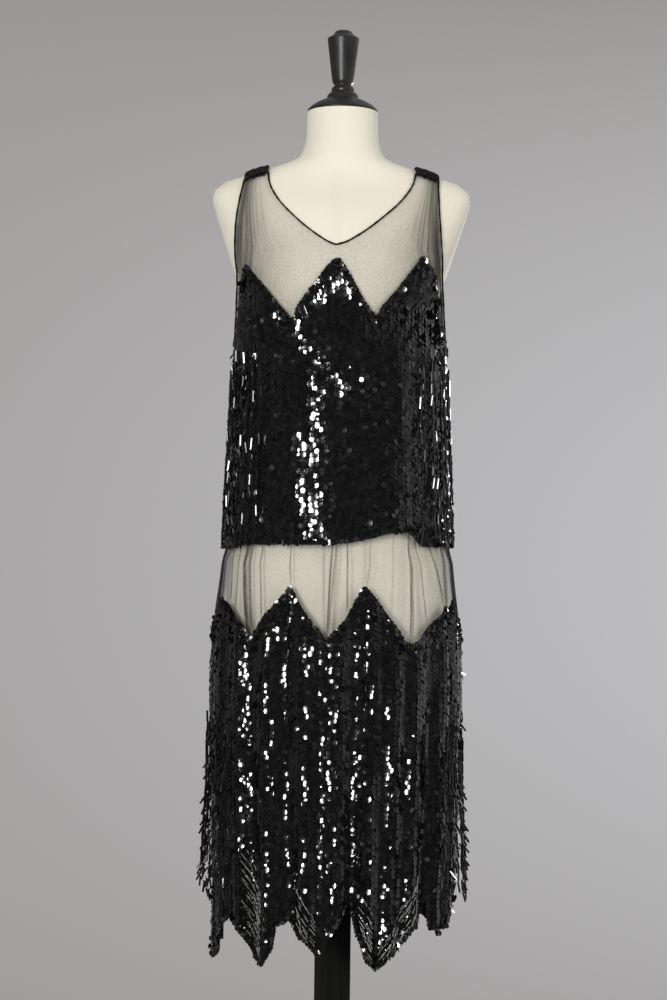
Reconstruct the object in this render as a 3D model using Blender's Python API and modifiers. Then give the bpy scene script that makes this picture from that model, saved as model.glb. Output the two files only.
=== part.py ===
"""Beaded flapper dress on a limbless dress form with a turned neck cap, a square post and a base.

Metres, +Z up, the front faces -Y. The origin is the middle of the base's underside.
A turn is an angle about +Z in degrees: 0 is the front centre, 90 is the +X side, 180 the back.
"""
import math
from typing import NamedTuple

import bmesh
import bpy
from mathutils import Vector

# Stand and form
BASE_RADIUS = 0.200
BASE_HEIGHT = 0.022
POST_SIDE = 0.050
POST_BEVEL = 0.0015
TORSO_FOOT = 0.697
NECK_TOP = 1.533
NECK_RADIUS = 0.049
FINIAL_TOP = 1.6474
REST_GAP = 0.0003

# Cloth
NET_WALL = 0.0010
SEQUIN_WALL = 0.0022
SEQUIN_STEP = 0.0020
EASE = 0.0022
SEAM_TURN = 0.06
BINDING_RADIUS = 0.0012
BINDING_LIFT = 0.0014
EDGE_TURN_STEP = 0.02
EDGE_RISE_STEP = 0.0002
LEAST_MITER = 0.6
TAB_WALL = 0.0022
TAB_REACH = 0.035
TAB_INNER = 0.1025
TAB_WIDTH = 0.031
TAB_SEAM = 0.0018
TAB_RUCHES = 5
TAB_RUCHE_DEPTH = 0.0006

# Heights of the bodice
UNDERARM = 1.205
NECK_POINT = 1.3325
BACK_NECK_POINT = 1.378
CHEST = 1.338
SHOULDER = 1.440
SHOULDER_LOWEST = 1.405
SHOULDER_HIGHEST = 1.475
HALVINGS = 40
BUST = 1.270
ARMHOLE_MIDDLE = 1.33
ARMHOLE_OUTSIDE = 0.20

# Heights of the skirt
SKIRT_TOP = 0.965
TUCK_FOOT = 0.925
TUCK_BLEND = 0.020
TUCK_GAP = 0.0031

# Fringes
STRAND_SIDE = 0.0030
STRIP_HEIGHT = 0.006
STRIP_WALL = 0.0018
STRIP_GAP = 0.0009
STRAND_JOINTS = 2
STRANDS = 14
BODICE_FRINGE_TOP = 1.200
BODICE_FRINGE_FOOT = 0.926
BODICE_FRINGE_WAVE = 0.012
BODICE_FRINGE_START = 43
BODICE_FRINGE_STEP = 7.2
SKIRT_FRINGE_TOP = 0.652
SKIRT_FRINGE_FOOT = 0.432
SKIRT_FRINGE_WAVE = 0.014
SKIRT_FRINGE_START = 50
SKIRT_FRINGE_STEP = 5.8

# Numbers of columns and sides
TORSO_SIDES = 34
TURNED_STEPS = 24
BASE_STEPS = 40
BODICE_STEP = 0.09
SKIRT_STEP = 4.8
NARROWEST_COLUMN = 1.9
TALL_BAND = 0.035


class Ring(NamedTuple):
    """A level section: half width along X, reach to the front and back, and how square it is."""

    height: float
    half_width: float
    front: float
    back: float
    squareness: float


class Level(NamedTuple):
    """A value that changes with height."""

    height: float
    value: float


class Corner(NamedTuple):
    """A corner of an edge line: its place across the panel, and its height."""

    place: float
    height: float


class Fold(NamedTuple):
    """A fold: the turn of its ridge, and how deep the valley after it is, as a share."""

    ridge: float
    share: float


TORSO = (
    Ring(0.6970, 0.1380, 0.0960, 0.1000, 2.2),
    Ring(0.7040, 0.1430, 0.1010, 0.1050, 2.2),
    Ring(0.7600, 0.1500, 0.1080, 0.1120, 2.2),
    Ring(0.8500, 0.1540, 0.1110, 0.1140, 2.2),
    Ring(0.9300, 0.1480, 0.1075, 0.1090, 2.2),
    Ring(1.0000, 0.1390, 0.1010, 0.0990, 2.2),
    Ring(1.0700, 0.1215, 0.0910, 0.0850, 2.2),
    Ring(1.1310, 0.1130, 0.0870, 0.0810, 2.2),
    Ring(1.1900, 0.1190, 0.0960, 0.0870, 2.2),
    Ring(1.2400, 0.1290, 0.1140, 0.0950, 2.2),
    Ring(1.2800, 0.1390, 0.1180, 0.0990, 2.2),
    Ring(1.3200, 0.1530, 0.1080, 0.1010, 2.3),
    Ring(1.3600, 0.1660, 0.0930, 0.0980, 2.4),
    Ring(1.3900, 0.1755, 0.0780, 0.0870, 2.5),
    Ring(1.4100, 0.1800, 0.0650, 0.0740, 2.5),
    Ring(1.4220, 0.1770, 0.0570, 0.0650, 2.4),
    Ring(1.4330, 0.1630, 0.0510, 0.0580, 2.3),
    Ring(1.4430, 0.1320, 0.0480, 0.0540, 2.2),
    Ring(1.4530, 0.1010, 0.0475, 0.0520, 2.1),
    Ring(1.4600, 0.0790, 0.0480, 0.0510, 2.0),
    Ring(1.4680, 0.0620, 0.0490, 0.0500, 2.0),
    Ring(1.4820, 0.0535, 0.0490, 0.0495, 2.0),
    Ring(1.5020, 0.0498, 0.0490, 0.0490, 2.0),
    Ring(NECK_TOP, NECK_RADIUS, NECK_RADIUS, NECK_RADIUS, 2.0),
)

BODICE = (
    Ring(0.900, 0.1575, 0.1275, 0.1240, 2.2),
    Ring(0.925, 0.1570, 0.1270, 0.1230, 2.2),
    Ring(1.000, 0.1545, 0.1262, 0.1180, 2.2),
    Ring(1.075, 0.1510, 0.1255, 0.1125, 2.2),
    Ring(1.131, 0.1485, 0.1245, 0.1090, 2.2),
    Ring(1.187, 0.1470, 0.1235, 0.1065, 2.2),
    Ring(1.236, 0.1463, 0.1220, 0.1045, 2.2),
    Ring(1.280, 0.1470, 0.1200, 0.1020, 2.2),
    Ring(1.320, 0.1520, 0.1060, 0.1000, 2.3),
)

SKIRT = (
    Ring(0.950, 0.1560, 0.1265, 0.1215, 2.2),
    Ring(0.910, 0.1590, 0.1285, 0.1240, 2.2),
    Ring(0.870, 0.1635, 0.1305, 0.1270, 2.2),
    Ring(0.829, 0.1690, 0.1330, 0.1300, 2.2),
    Ring(0.788, 0.1722, 0.1350, 0.1325, 2.2),
    Ring(0.725, 0.1742, 0.1370, 0.1350, 2.2),
    Ring(0.650, 0.1730, 0.1385, 0.1370, 2.2),
    Ring(0.550, 0.1700, 0.1400, 0.1390, 2.2),
    Ring(0.440, 0.1665, 0.1410, 0.1400, 2.2),
    Ring(0.350, 0.1670, 0.1420, 0.1410, 2.2),
)

# Reach of the loose skirt fringe beyond the skirt, as it falls and spreads
FRINGE_SPREAD = (
    Level(0.660, 0.0032),
    Level(0.600, 0.0050),
    Level(0.520, 0.0120),
    Level(0.425, 0.0190),
)

# Turn of the armhole's edge below the chest, and its distance from the centre line above the chest
ARMHOLE_TURN = (
    Level(UNDERARM, 90.0),
    Level(1.209, 86.5),
    Level(1.222, 81.5),
    Level(1.245, 77.5),
    Level(1.270, 74.5),
    Level(1.295, 71.0),
    Level(CHEST, 60.5),
)
ARMHOLE_REACH = (
    Level(CHEST, 0.1430),
    Level(1.369, 0.1415),
    Level(1.395, 0.1385),
    Level(1.430, TAB_INNER + TAB_WIDTH),
)

# Distance of each neckline from the centre line
FRONT_NECK = (
    Level(NECK_POINT, 0.0),
    Level(1.3369, 0.0122),
    Level(1.3464, 0.0275),
    Level(1.3560, 0.0405),
    Level(1.3743, 0.0613),
    Level(1.3954, 0.0819),
    Level(1.4098, 0.0921),
    Level(SHOULDER, TAB_INNER),
)
BACK_NECK = (
    Level(BACK_NECK_POINT, 0.0),
    Level(1.3820, 0.024),
    Level(1.3900, 0.048),
    Level(1.4030, 0.070),
    Level(1.4200, 0.088),
    Level(SHOULDER, TAB_INNER),
)

# Edge lines across a bodice panel. A place is -1 at the -X edge, 0 at the centre and 1 at the +X edge.
FRONT_BODICE_HEM = (
    Corner(-1.0, 0.921),
    Corner(-0.77, 0.922),
    Corner(-0.55, 0.929),
    Corner(0.05, 0.934),
    Corner(0.2, 0.942),
    Corner(0.41, 0.948),
    Corner(0.51, 0.929),
    Corner(1.0, 0.925),
)
BACK_BODICE_HEM = (
    Corner(-1.00, 0.923),
    Corner(0.00, 0.932),
    Corner(1.00, 0.925),
)
FRONT_BODICE_ZIGZAG = (
    Corner(-1.0, 1.228),
    Corner(-0.88, 1.288),
    Corner(-0.81, 1.311),
    Corner(-0.29, 1.233),
    Corner(0.0, 1.314),
    Corner(0.21, 1.234),
    Corner(0.7, 1.323),
    Corner(0.84, 1.288),
    Corner(1.0, 1.228),
)
BACK_BODICE_ZIGZAG = (
    Corner(-1.00, 1.230),
    Corner(-0.75, 1.318),
    Corner(-0.32, 1.228),
    Corner(0.00, 1.320),
    Corner(0.32, 1.228),
    Corner(0.75, 1.318),
    Corner(1.00, 1.285),
)

# Edge lines round the skirt. A place is a turn.
SKIRT_ZIGZAG = (
    Corner(-104, 0.852),
    Corner(-84, 0.8),
    Corner(-64, 0.851),
    Corner(-47, 0.821),
    Corner(-43, 0.796),
    Corner(-21, 0.874),
    Corner(-3.4, 0.801),
    Corner(11.6, 0.875),
    Corner(30, 0.803),
    Corner(34.5, 0.797),
    Corner(62, 0.848),
    Corner(84, 0.8),
    Corner(103, 0.852),
    Corner(125, 0.795),
    Corner(146, 0.872),
    Corner(163, 0.796),
    Corner(180, 0.875),
    Corner(197, 0.796),
    Corner(216, 0.872),
    Corner(237, 0.795),
    Corner(256, 0.852),
    Corner(276, 0.8),
)
SKIRT_HEM = (
    Corner(-94, 0.38),
    Corner(-86, 0.352),
    Corner(-78, 0.368),
    Corner(-66, 0.391),
    Corner(-61, 0.422),
    Corner(-49, 0.415),
    Corner(-40, 0.375),
    Corner(-32, 0.366),
    Corner(-26, 0.421),
    Corner(-19.5, 0.428),
    Corner(-6.3, 0.383),
    Corner(-4, 0.39),
    Corner(6, 0.461),
    Corner(10.5, 0.412),
    Corner(13.5, 0.376),
    Corner(17, 0.365),
    Corner(24, 0.38),
    Corner(36, 0.413),
    Corner(47, 0.432),
    Corner(50.5, 0.452),
    Corner(52.5, 0.411),
    Corner(68.5, 0.405),
    Corner(73, 0.433),
    Corner(96, 0.436),
    Corner(115, 0.368),
    Corner(137, 0.432),
    Corner(157, 0.364),
    Corner(172, 0.436),
    Corner(186, 0.366),
    Corner(201, 0.434),
    Corner(216, 0.364),
    Corner(237, 0.432),
    Corner(256, 0.366),
    Corner(266, 0.38),
    Corner(274, 0.352),
    Corner(276, 0.356),
)

BODICE_FOLDS = (
    Fold(-90, 0.5),
    Fold(-58, 1.0),
    Fold(-9, 0.6),
    Fold(30, 0.8),
    Fold(58, 0.6),
    Fold(90, 0.6),
    Fold(116, 0.8),
    Fold(140, 0.9),
    Fold(166, 0.8),
    Fold(196, 0.9),
    Fold(226, 0.8),
    Fold(248, 0.6),
)
BODICE_FOLD_DEPTH = (
    Level(0.900, 0.0065),
    Level(1.000, 0.0060),
    Level(1.131, 0.0040),
    Level(1.200, 0.0015),
    Level(BUST, 0.0),
)
SKIRT_FOLDS = (
    Fold(-90, 0.5),
    Fold(-67, 0.5),
    Fold(-49, 0.8),
    Fold(-31, 1.0),
    Fold(-11, 0.4),
    Fold(0, 1.0),
    Fold(14, 0.3),
    Fold(25, 0.5),
    Fold(37, 0.9),
    Fold(57, 0.6),
    Fold(72, 0.5),
    Fold(90, 0.5),
    Fold(105, 0.7),
    Fold(118, 0.9),
    Fold(134, 1.0),
    Fold(150, 0.6),
    Fold(163, 1.0),
    Fold(176, 0.6),
    Fold(189, 0.9),
    Fold(203, 0.7),
    Fold(218, 1.0),
    Fold(233, 0.8),
    Fold(250, 0.6),
)
SKIRT_FOLD_DEPTH = (
    Level(0.350, 0.0165),
    Level(0.500, 0.0145),
    Level(0.650, 0.0120),
    Level(0.800, 0.0085),
    Level(0.870, 0.0055),
    Level(0.930, 0.0020),
)


def slopes(heights, values):
    """Slope at each height that keeps a curve through the values free of overshoot."""
    steps = [(values[i + 1] - values[i]) / (heights[i + 1] - heights[i]) for i in range(len(values) - 1)]
    inner = []
    for before, after in zip(steps, steps[1:]):
        same_way = before * after > 0
        inner.append(2 * before * after / (before + after) if same_way else 0.0)
    return [steps[0]] + inner + [steps[-1]]


def smooth_value(rows, column, height):
    """Value of one column of a table at a height, along a smooth curve."""
    ordered = sorted(rows)
    heights = [row.height for row in ordered]
    values = [row[column] for row in ordered]
    if height <= heights[0]:
        return values[0]
    if height >= heights[-1]:
        return values[-1]
    tangents = slopes(heights, values)
    last = max(i for i in range(len(heights) - 1) if heights[i] <= height)
    span = heights[last + 1] - heights[last]
    t = (height - heights[last]) / span
    start = (2 * t ** 3 - 3 * t ** 2 + 1) * values[last] + (t ** 3 - 2 * t ** 2 + t) * span * tangents[last]
    end = (3 * t ** 2 - 2 * t ** 3) * values[last + 1] + (t ** 3 - t ** 2) * span * tangents[last + 1]
    return start + end


def ring_at(rows, height):
    """Section of a table of rings at a height."""
    return Ring(height, *(smooth_value(rows, column, height) for column in range(1, len(Ring._fields))))


def grown(ring, out):
    """The ring moved out by a distance all round."""
    return ring._replace(half_width=ring.half_width + out, front=ring.front + out, back=ring.back + out)


def mixed(first, second, share):
    """The ring between two rings, the first one at 0 and the second one at 1."""
    return Ring(*(a + (b - a) * share for a, b in zip(first, second)))


def ring_point(ring, turn):
    """Point of a section at a turn."""
    power = 2 / ring.squareness
    across = math.sin(math.radians(turn))
    ahead = math.cos(math.radians(turn))
    reach = ring.front if ahead > 0 else ring.back
    x = ring.half_width * math.copysign(abs(across) ** power, across)
    y = -reach * math.copysign(abs(ahead) ** power, ahead)
    return Vector((x, y, ring.height))


def turn_at(ring, x):
    """Turn, between 0 and 90, where a section is a distance from the centre line."""
    share = min(1.0, abs(x) / ring.half_width)
    return math.degrees(math.asin(share ** (ring.squareness / 2)))


def line_height(corners, place):
    """Height of an edge line at a place, straight from corner to corner."""
    for low, high in zip(corners, corners[1:]):
        if low.place <= place <= high.place:
            share = (place - low.place) / (high.place - low.place)
            return low.height + (high.height - low.height) * share
    return corners[0].height if place < corners[0].place else corners[-1].height


def fold_share(folds, turn):
    """How far into a valley a turn is: 0 on a ridge, the fold's share in the middle of its valley."""
    first = folds[0].ridge
    turn = first + (turn - first) % 360
    ends = [fold.ridge for fold in folds[1:]] + [first + 360]
    for fold, end in zip(folds, ends):
        if turn <= end:
            phase = (turn - fold.ridge) / (end - fold.ridge)
            return fold.share * (1 - math.cos(2 * math.pi * phase)) / 2
    return 0.0


def torso_heights():
    """Heights of the form's sections."""
    heights = [TORSO[0].height]
    for low, high in zip(TORSO, TORSO[1:]):
        parts = 2 if high.height - low.height > TALL_BAND else 1
        heights += [low.height + (high.height - low.height) * i / parts for i in range(1, parts + 1)]
    return heights


def torso_ring(height):
    """Section of the faceted form at a height, straight between its own sections."""
    heights = torso_heights()
    last = max([i for i in range(len(heights) - 1) if heights[i] <= height], default=0)
    low = ring_at(TORSO, heights[last])
    high = ring_at(TORSO, heights[last + 1])
    return mixed(low, high, (height - low.height) / (high.height - low.height))


def bodice_ring(height):
    """Inner section of the bodice, kept off the form."""
    form = grown(torso_ring(height), EASE)
    if height >= BODICE[-1].height:
        return form
    cloth = ring_at(BODICE, height)
    return Ring(
        height,
        max(form.half_width, cloth.half_width),
        max(form.front, cloth.front),
        max(form.back, cloth.back),
        cloth.squareness,
    )


def bodice_inset(turn, height):
    """How far the bodice's folds carry it in."""
    return fold_share(BODICE_FOLDS, turn) * smooth_value(BODICE_FOLD_DEPTH, 1, height)


def bodice_point(turn, height, out=0.0):
    """Point of the bodice's inner face, or of a face moved out from it."""
    return ring_point(grown(bodice_ring(height), out - bodice_inset(turn, height)), turn)


def bodice_ridge_point(turn, height, out=0.0):
    """Point on the line of the bodice's ridges, where its fringe hangs."""
    return ring_point(grown(bodice_ring(height), out), turn)


def skirt_ridge_point(turn, height, out=0.0):
    """Point on the line of the skirt's ridges, where its fringe hangs."""
    return ring_point(grown(ring_at(SKIRT, height), out), turn)


def skirt_point(turn, height, out=0.0):
    """Point of the skirt's inner face, which hangs inside the bodice above the bodice's hem."""
    low = ring_at(SKIRT, height)
    low_inset = fold_share(SKIRT_FOLDS, turn) * smooth_value(SKIRT_FOLD_DEPTH, 1, height)
    high = grown(bodice_ring(height), -TUCK_GAP)
    high_inset = bodice_inset(turn, height)
    share = min(1.0, max(0.0, (height - TUCK_FOOT + TUCK_BLEND) / TUCK_BLEND))
    inset = low_inset + (high_inset - low_inset) * share
    return ring_point(grown(mixed(low, high, share), out - inset), turn)


def spaced(start, stop, marks, extras, step):
    """Places from start to stop: each mark, each extra that isn't close to one, and even steps between."""
    kept = [start, stop] + [mark for mark in marks if start < mark < stop]
    for extra in extras:
        if start < extra < stop and min(abs(extra - place) for place in kept) > NARROWEST_COLUMN:
            kept.append(extra)
    kept = sorted(set(kept))
    places = [kept[0]]
    for low, high in zip(kept, kept[1:]):
        parts = max(1, math.ceil((high - low) / step - 0.01))
        places += [low + (high - low) * i / parts for i in range(1, parts + 1)]
    return places


def stations(*bands):
    """Heights of the points up one column: each band is its start, its end and its number of parts."""
    heights = [bands[0][0]]
    for start, end, parts in bands:
        if start != heights[-1]:
            heights.append(start)
        heights += [start + (end - start) * i / parts for i in range(1, parts + 1)]
    return heights


def new_material(name, colour, roughness, metallic=0.0):
    """A Principled material of the part's own."""
    material = bpy.data.materials.new(name)
    material.use_nodes = True
    shader = material.node_tree.nodes["Principled BSDF"]
    shader.inputs["Base Color"].default_value = (*colour, 1.0)
    shader.inputs["Roughness"].default_value = roughness
    shader.inputs["Metallic"].default_value = metallic
    material.diffuse_color = (*colour, 1.0)
    return material


def add_object(name, data, material):
    """Object in the dress's collection, with its own material."""
    made = bpy.data.objects.new(name, data)
    bpy.data.collections["flapper_dress"].objects.link(made)
    data.materials.append(material)
    return made


def add_turned(name, profile, steps, material):
    """Turned piece from its profile, which runs down its outer side."""
    mesh = bpy.data.meshes.new(name)
    points = [(radius, 0.0, height) for radius, height in profile]
    mesh.from_pydata(points, [(i, i + 1) for i in range(len(points) - 1)], [])
    made = add_object(name, mesh, material)
    screw = made.modifiers.new("turn", "SCREW")
    screw.axis = "Z"
    screw.steps = steps
    screw.render_steps = steps
    screw.use_merge_vertices = True
    screw.merge_threshold = 0.00005
    screw.use_smooth_shade = True
    return made


def add_loft(name, rings, sides, material):
    """Closed loft through sections, with a flat foot and a flat top."""
    grid = bmesh.new()
    loops = []
    for ring in rings:
        loops.append([grid.verts.new(ring_point(ring, 360 * i / sides)) for i in range(sides)])
    for low, high in zip(loops, loops[1:]):
        for i in range(sides):
            after = (i + 1) % sides
            grid.faces.new((low[i], low[after], high[after], high[i]))
    grid.faces.new(list(reversed(loops[0])))
    grid.faces.new(loops[-1])
    return finish_mesh(name, grid, material)


def finish_mesh(name, grid, material):
    """Turn a bmesh into a smooth shaded object."""
    mesh = bpy.data.meshes.new(name)
    grid.to_mesh(mesh)
    grid.free()
    mesh.shade_smooth()
    mesh.set_sharp_from_angle(angle=math.radians(40))
    return add_object(name, mesh, material)


def add_cloth(name, halves, material):
    """Panel of cloth as an open sheet with a wall, thicker where it is sewn with sequins.

    Each half is a list of columns, and each column a list of (point, has sequins).
    """
    grid = bmesh.new()
    weights = grid.verts.layers.deform.verify()
    for columns in halves:
        placed = []
        for column in columns:
            verts = []
            for point, sequins in column:
                vert = grid.verts.new(point)
                vert[weights][0] = 1.0 if sequins else 0.0
                verts.append(vert)
            placed.append(verts)
        for left, right in zip(placed, placed[1:]):
            for i in range(len(left) - 1):
                grid.faces.new((left[i], right[i], right[i + 1], left[i + 1]))
    bmesh.ops.remove_doubles(grid, verts=grid.verts, dist=0.000001)
    made = finish_mesh(name, grid, material)
    made.vertex_groups.new(name="sequins")
    add_wall(made, SEQUIN_WALL)
    made.modifiers["wall"].vertex_group = "sequins"
    made.modifiers["wall"].thickness_vertex_group = NET_WALL / SEQUIN_WALL
    return made


def add_wall(made, thickness):
    """Give an open sheet a wall on its outer side."""
    wall = made.modifiers.new("wall", "SOLIDIFY")
    wall.thickness = thickness
    wall.offset = 1.0
    wall.use_even_offset = True
    wall.use_quality_normals = True


def add_binding(name, points, material):
    """Rolled edge of cloth along a line of points."""
    curve = bpy.data.curves.new(name, "CURVE")
    curve.dimensions = "3D"
    curve.bevel_depth = BINDING_RADIUS
    curve.bevel_resolution = 1
    curve.use_fill_caps = True
    spline = curve.splines.new("POLY")
    spline.points.add(len(points) - 1)
    for slot, point in zip(spline.points, points):
        slot.co = (*point, 1.0)
    return add_object(name, curve, material)


def beside_edge(places, surface, opening):
    """Points of a binding beside a panel's edge, on the side of the opening.

    The places are (turn, height) along the edge, and opening is a point in the hole that the edge bounds.
    """
    reach = BINDING_RADIUS + 2 * REST_GAP
    edge = [surface(turn, height) for turn, height in places]
    result = []
    for i, (turn, height) in enumerate(places):
        along = (edge[min(i + 1, len(edge) - 1)] - edge[max(i - 1, 0)]).normalized()
        round_way = surface(turn + EDGE_TURN_STEP, height) - surface(turn - EDGE_TURN_STEP, height)
        up_way = surface(turn, height + EDGE_RISE_STEP) - surface(turn, height - EDGE_RISE_STEP)
        out = round_way.cross(up_way).normalized()
        side = along.cross(out).normalized()
        if side.dot(opening - edge[i]) < 0:
            side.negate()
        chord = (edge[i] - edge[i - 1]).normalized() if i > 0 else along
        miter = max(LEAST_MITER, abs(chord.cross(out).normalized().dot(side)))
        result.append(edge[i] + side * reach / miter + out * BINDING_LIFT)
    return result


def armhole_turn(height):
    """Turn of the armhole's edge at a height."""
    if height <= CHEST:
        return smooth_value(ARMHOLE_TURN, 1, height)
    return turn_at(bodice_ring(height), smooth_value(ARMHOLE_REACH, 1, height))


def bodice_column(place, neck, neck_point, hem, zigzag, back):
    """Places up one column of a bodice panel: (turn, height, has sequins) from the hem to the top.

    The place runs from 0 at the centre to 1 or -1 at the side.
    """
    share = abs(place)
    tab_end = TAB_REACH + TAB_SEAM
    top = shoulder_height(TAB_INNER + TAB_WIDTH * share, tab_end if back else -tab_end)
    edge = line_height(zigzag, place)
    heights = stations(
        (line_height(hem, place), UNDERARM, 4),
        (UNDERARM, edge, 3),
        (edge + SEQUIN_STEP, neck_point, 5 if back else 3),
        (neck_point, top, 6),
    )
    column = []
    for height in heights:
        inner = 0.0
        if height > neck_point:
            inner = turn_at(bodice_ring(height), smooth_value(neck, 1, height))
        outer = armhole_turn(height) - SEAM_TURN
        turn = (inner + (outer - inner) * share) * math.copysign(1.0, place)
        if back:
            turn = 180 - turn
        column.append((turn, height, height <= edge))
    return column


def bodice_panel_columns(neck, neck_point, hem, zigzag, back):
    """The columns of a bodice panel's two halves, each from one side to the other as seen from outside."""
    marks = [corner.place for corner in zigzag + hem]
    halves = []
    for start, stop in ((-1.0, 0.0), (0.0, 1.0)):
        columns = []
        for place in spaced(start, stop, marks, (), BODICE_STEP):
            signed = place if place != 0.0 else math.copysign(0.0, start + stop)
            columns.append(bodice_column(signed, neck, neck_point, hem, zigzag, back))
        halves.append(columns[::-1] if back else columns)
    return halves


def on_surface(halves, surface):
    """Turn columns of places into columns of points."""
    return [
        [[(surface(turn, height), sequins) for turn, height, sequins in column] for column in columns]
        for columns in halves
    ]


def neck_edge(halves, neck_point):
    """Places along a neckline, from one shoulder to the other."""
    first = [(turn, height) for turn, height, _ in halves[0][-1] if height >= neck_point]
    second = [(turn, height) for turn, height, _ in halves[1][0] if height > neck_point]
    return first[::-1] + second


def armhole_edge(column):
    """Places up an armhole's edge, from the underarm to the shoulder."""
    return [(turn, height) for turn, height, _ in column if height >= UNDERARM]


def skirt_columns(start, stop):
    """Columns of a skirt panel between two turns."""
    marks = [corner.place for corner in SKIRT_ZIGZAG + SKIRT_HEM]
    ridges = [fold.ridge for fold in SKIRT_FOLDS]
    ends = ridges[1:] + [ridges[0] + 360]
    extras = ridges + [(a + b) / 2 for a, b in zip(ridges, ends)]
    columns = []
    for turn in spaced(start + SEAM_TURN, stop - SEAM_TURN, marks, extras, SKIRT_STEP):
        hem = line_height(SKIRT_HEM, turn)
        edge = line_height(SKIRT_ZIGZAG, turn)
        heights = stations((hem, edge, 5), (edge + SEQUIN_STEP, TUCK_FOOT, 2), (TUCK_FOOT, SKIRT_TOP, 1))
        columns.append([(turn, height, height <= edge) for height in heights])
    return columns


def add_tab(name, side, material):
    """Ruched tab over one shoulder, between the front panel and the back panel."""
    rows = 3 * TAB_RUCHES
    across = 3
    grid = bmesh.new()
    lines = []
    for row in range(rows + 1):
        y = -TAB_REACH + 2 * TAB_REACH * row / rows
        ruche = TAB_RUCHE_DEPTH * (1 - math.cos(2 * math.pi * TAB_RUCHES * row / rows))
        line = []
        for step in range(across + 1):
            x = side * (TAB_INNER + TAB_WIDTH * step / across)
            line.append(grid.verts.new((x, y, shoulder_height(x, y) + ruche)))
        lines.append(line)
    for near, far in zip(lines, lines[1:]):
        for step in range(across):
            corners = (near[step], near[step + 1], far[step + 1], far[step])
            grid.faces.new(corners if side > 0 else corners[::-1])
    made = finish_mesh(name, grid, material)
    add_wall(made, TAB_WALL)
    return made


def shoulder_height(x, y):
    """Height of the bodice's inner face over a point of the shoulder."""
    low = SHOULDER_LOWEST
    high = SHOULDER_HIGHEST
    for _ in range(HALVINGS):
        height = (low + high) / 2
        ring = bodice_ring(height)
        reach = ring.front if y < 0 else ring.back
        inside = (abs(x) / ring.half_width) ** ring.squareness + (abs(y) / reach) ** ring.squareness < 1
        if inside:
            low = height
        else:
            high = height
    return low


def add_fringe(name, surface, turns, top, foot, seat, spread, material):
    """Strands that hang from a narrow strip.

    surface gives a point from a turn, a height and a distance out. seat is the strip's distance out.
    foot gives the height of a strand's end from its number, and spread the distance out at a height.
    """
    grid = bmesh.new()
    half = math.degrees(STRAND_SIDE / 2 / surface(turns[0], top, 0.0).xy.length)
    columns = []
    for turn in turns:
        columns += [turn - half, turn + half]
    rings = []
    for turn in columns:
        low_in = surface(turn, top, seat)
        low_out = surface(turn, top, seat + STRIP_WALL)
        high_out = surface(turn, top + STRIP_HEIGHT, seat + STRIP_WALL)
        high_in = surface(turn, top + STRIP_HEIGHT, seat)
        rings.append([grid.verts.new(point) for point in (low_in, low_out, high_out, high_in)])
    roots = []
    for number, (left, right) in enumerate(zip(rings, rings[1:])):
        for i in range(4):
            after = (i + 1) % 4
            face = grid.faces.new((left[i], left[after], right[after], right[i]))
            if i == 0 and number % 2 == 0:
                roots.append(face)
    grid.faces.new(rings[0][::-1])
    grid.faces.new(rings[-1])
    for number, (root, turn) in enumerate(zip(roots, turns)):
        face = root
        for joint in range(1, STRAND_JOINTS + 1):
            height = top + (foot(number) - top) * joint / STRAND_JOINTS
            face = bmesh.ops.extrude_discrete_faces(grid, faces=[face])["faces"][0]
            centre = surface(turn, height, spread(height) + STRIP_WALL / 2)
            offset = centre - face.calc_center_median()
            bmesh.ops.translate(grid, verts=face.verts, vec=offset)
    bmesh.ops.recalc_face_normals(grid, faces=grid.faces)
    return finish_mesh(name, grid, material)


def build_stand(paint, lacquer, linen):
    """Base, post, form and neck cap."""
    socket = 0.060
    rim = 0.0165
    base_profile = (
        (0.0, BASE_HEIGHT),
        (socket, BASE_HEIGHT),
        (BASE_RADIUS - 0.020, rim),
        (BASE_RADIUS - 0.006, rim - 0.002),
        (BASE_RADIUS, rim - 0.008),
        (BASE_RADIUS, 0.002),
        (BASE_RADIUS - 0.002, 0.0),
        (0.0, 0.0),
    )
    add_turned("form_base", base_profile, BASE_STEPS, paint)

    post_height = TORSO_FOOT - BASE_HEIGHT - 2 * REST_GAP
    bpy.ops.mesh.primitive_cube_add(size=1.0, location=(0, 0, BASE_HEIGHT + REST_GAP + post_height / 2))
    post = bpy.context.object
    post.name = "form_post"
    post.data.name = "form_post"
    for vert in post.data.vertices:
        vert.co = Vector((vert.co.x * POST_SIDE, vert.co.y * POST_SIDE, vert.co.z * post_height))
    post.data.materials.append(lacquer)
    bevel = post.modifiers.new("edges", "BEVEL")
    bevel.width = POST_BEVEL
    bevel.segments = 1
    for collection in list(post.users_collection):
        collection.objects.unlink(post)
    bpy.data.collections["flapper_dress"].objects.link(post)

    add_loft("form_torso", [ring_at(TORSO, height) for height in torso_heights()], TORSO_SIDES, linen)

    foot = NECK_TOP + REST_GAP
    cap_profile = (
        (0.0, FINIAL_TOP),
        (0.0103, FINIAL_TOP),
        (0.0154, 1.6407),
        (0.0221, 1.6369),
        (0.0221, 1.6345),
        (0.0151, 1.5760),
        (0.0121, 1.5717),
        (0.0121, 1.5700),
        (0.0162, 1.5660),
        (0.0160, 1.5615),
        (0.0190, 1.5600),
        (0.0222, 1.5550),
        (0.0240, 1.5512),
        (0.0330, 1.5480),
        (0.0430, 1.5420),
        (NECK_RADIUS, 1.5364),
        (NECK_RADIUS, foot),
        (0.0, foot),
    )
    add_turned("form_neck_cap", cap_profile, TURNED_STEPS, lacquer)


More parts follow.
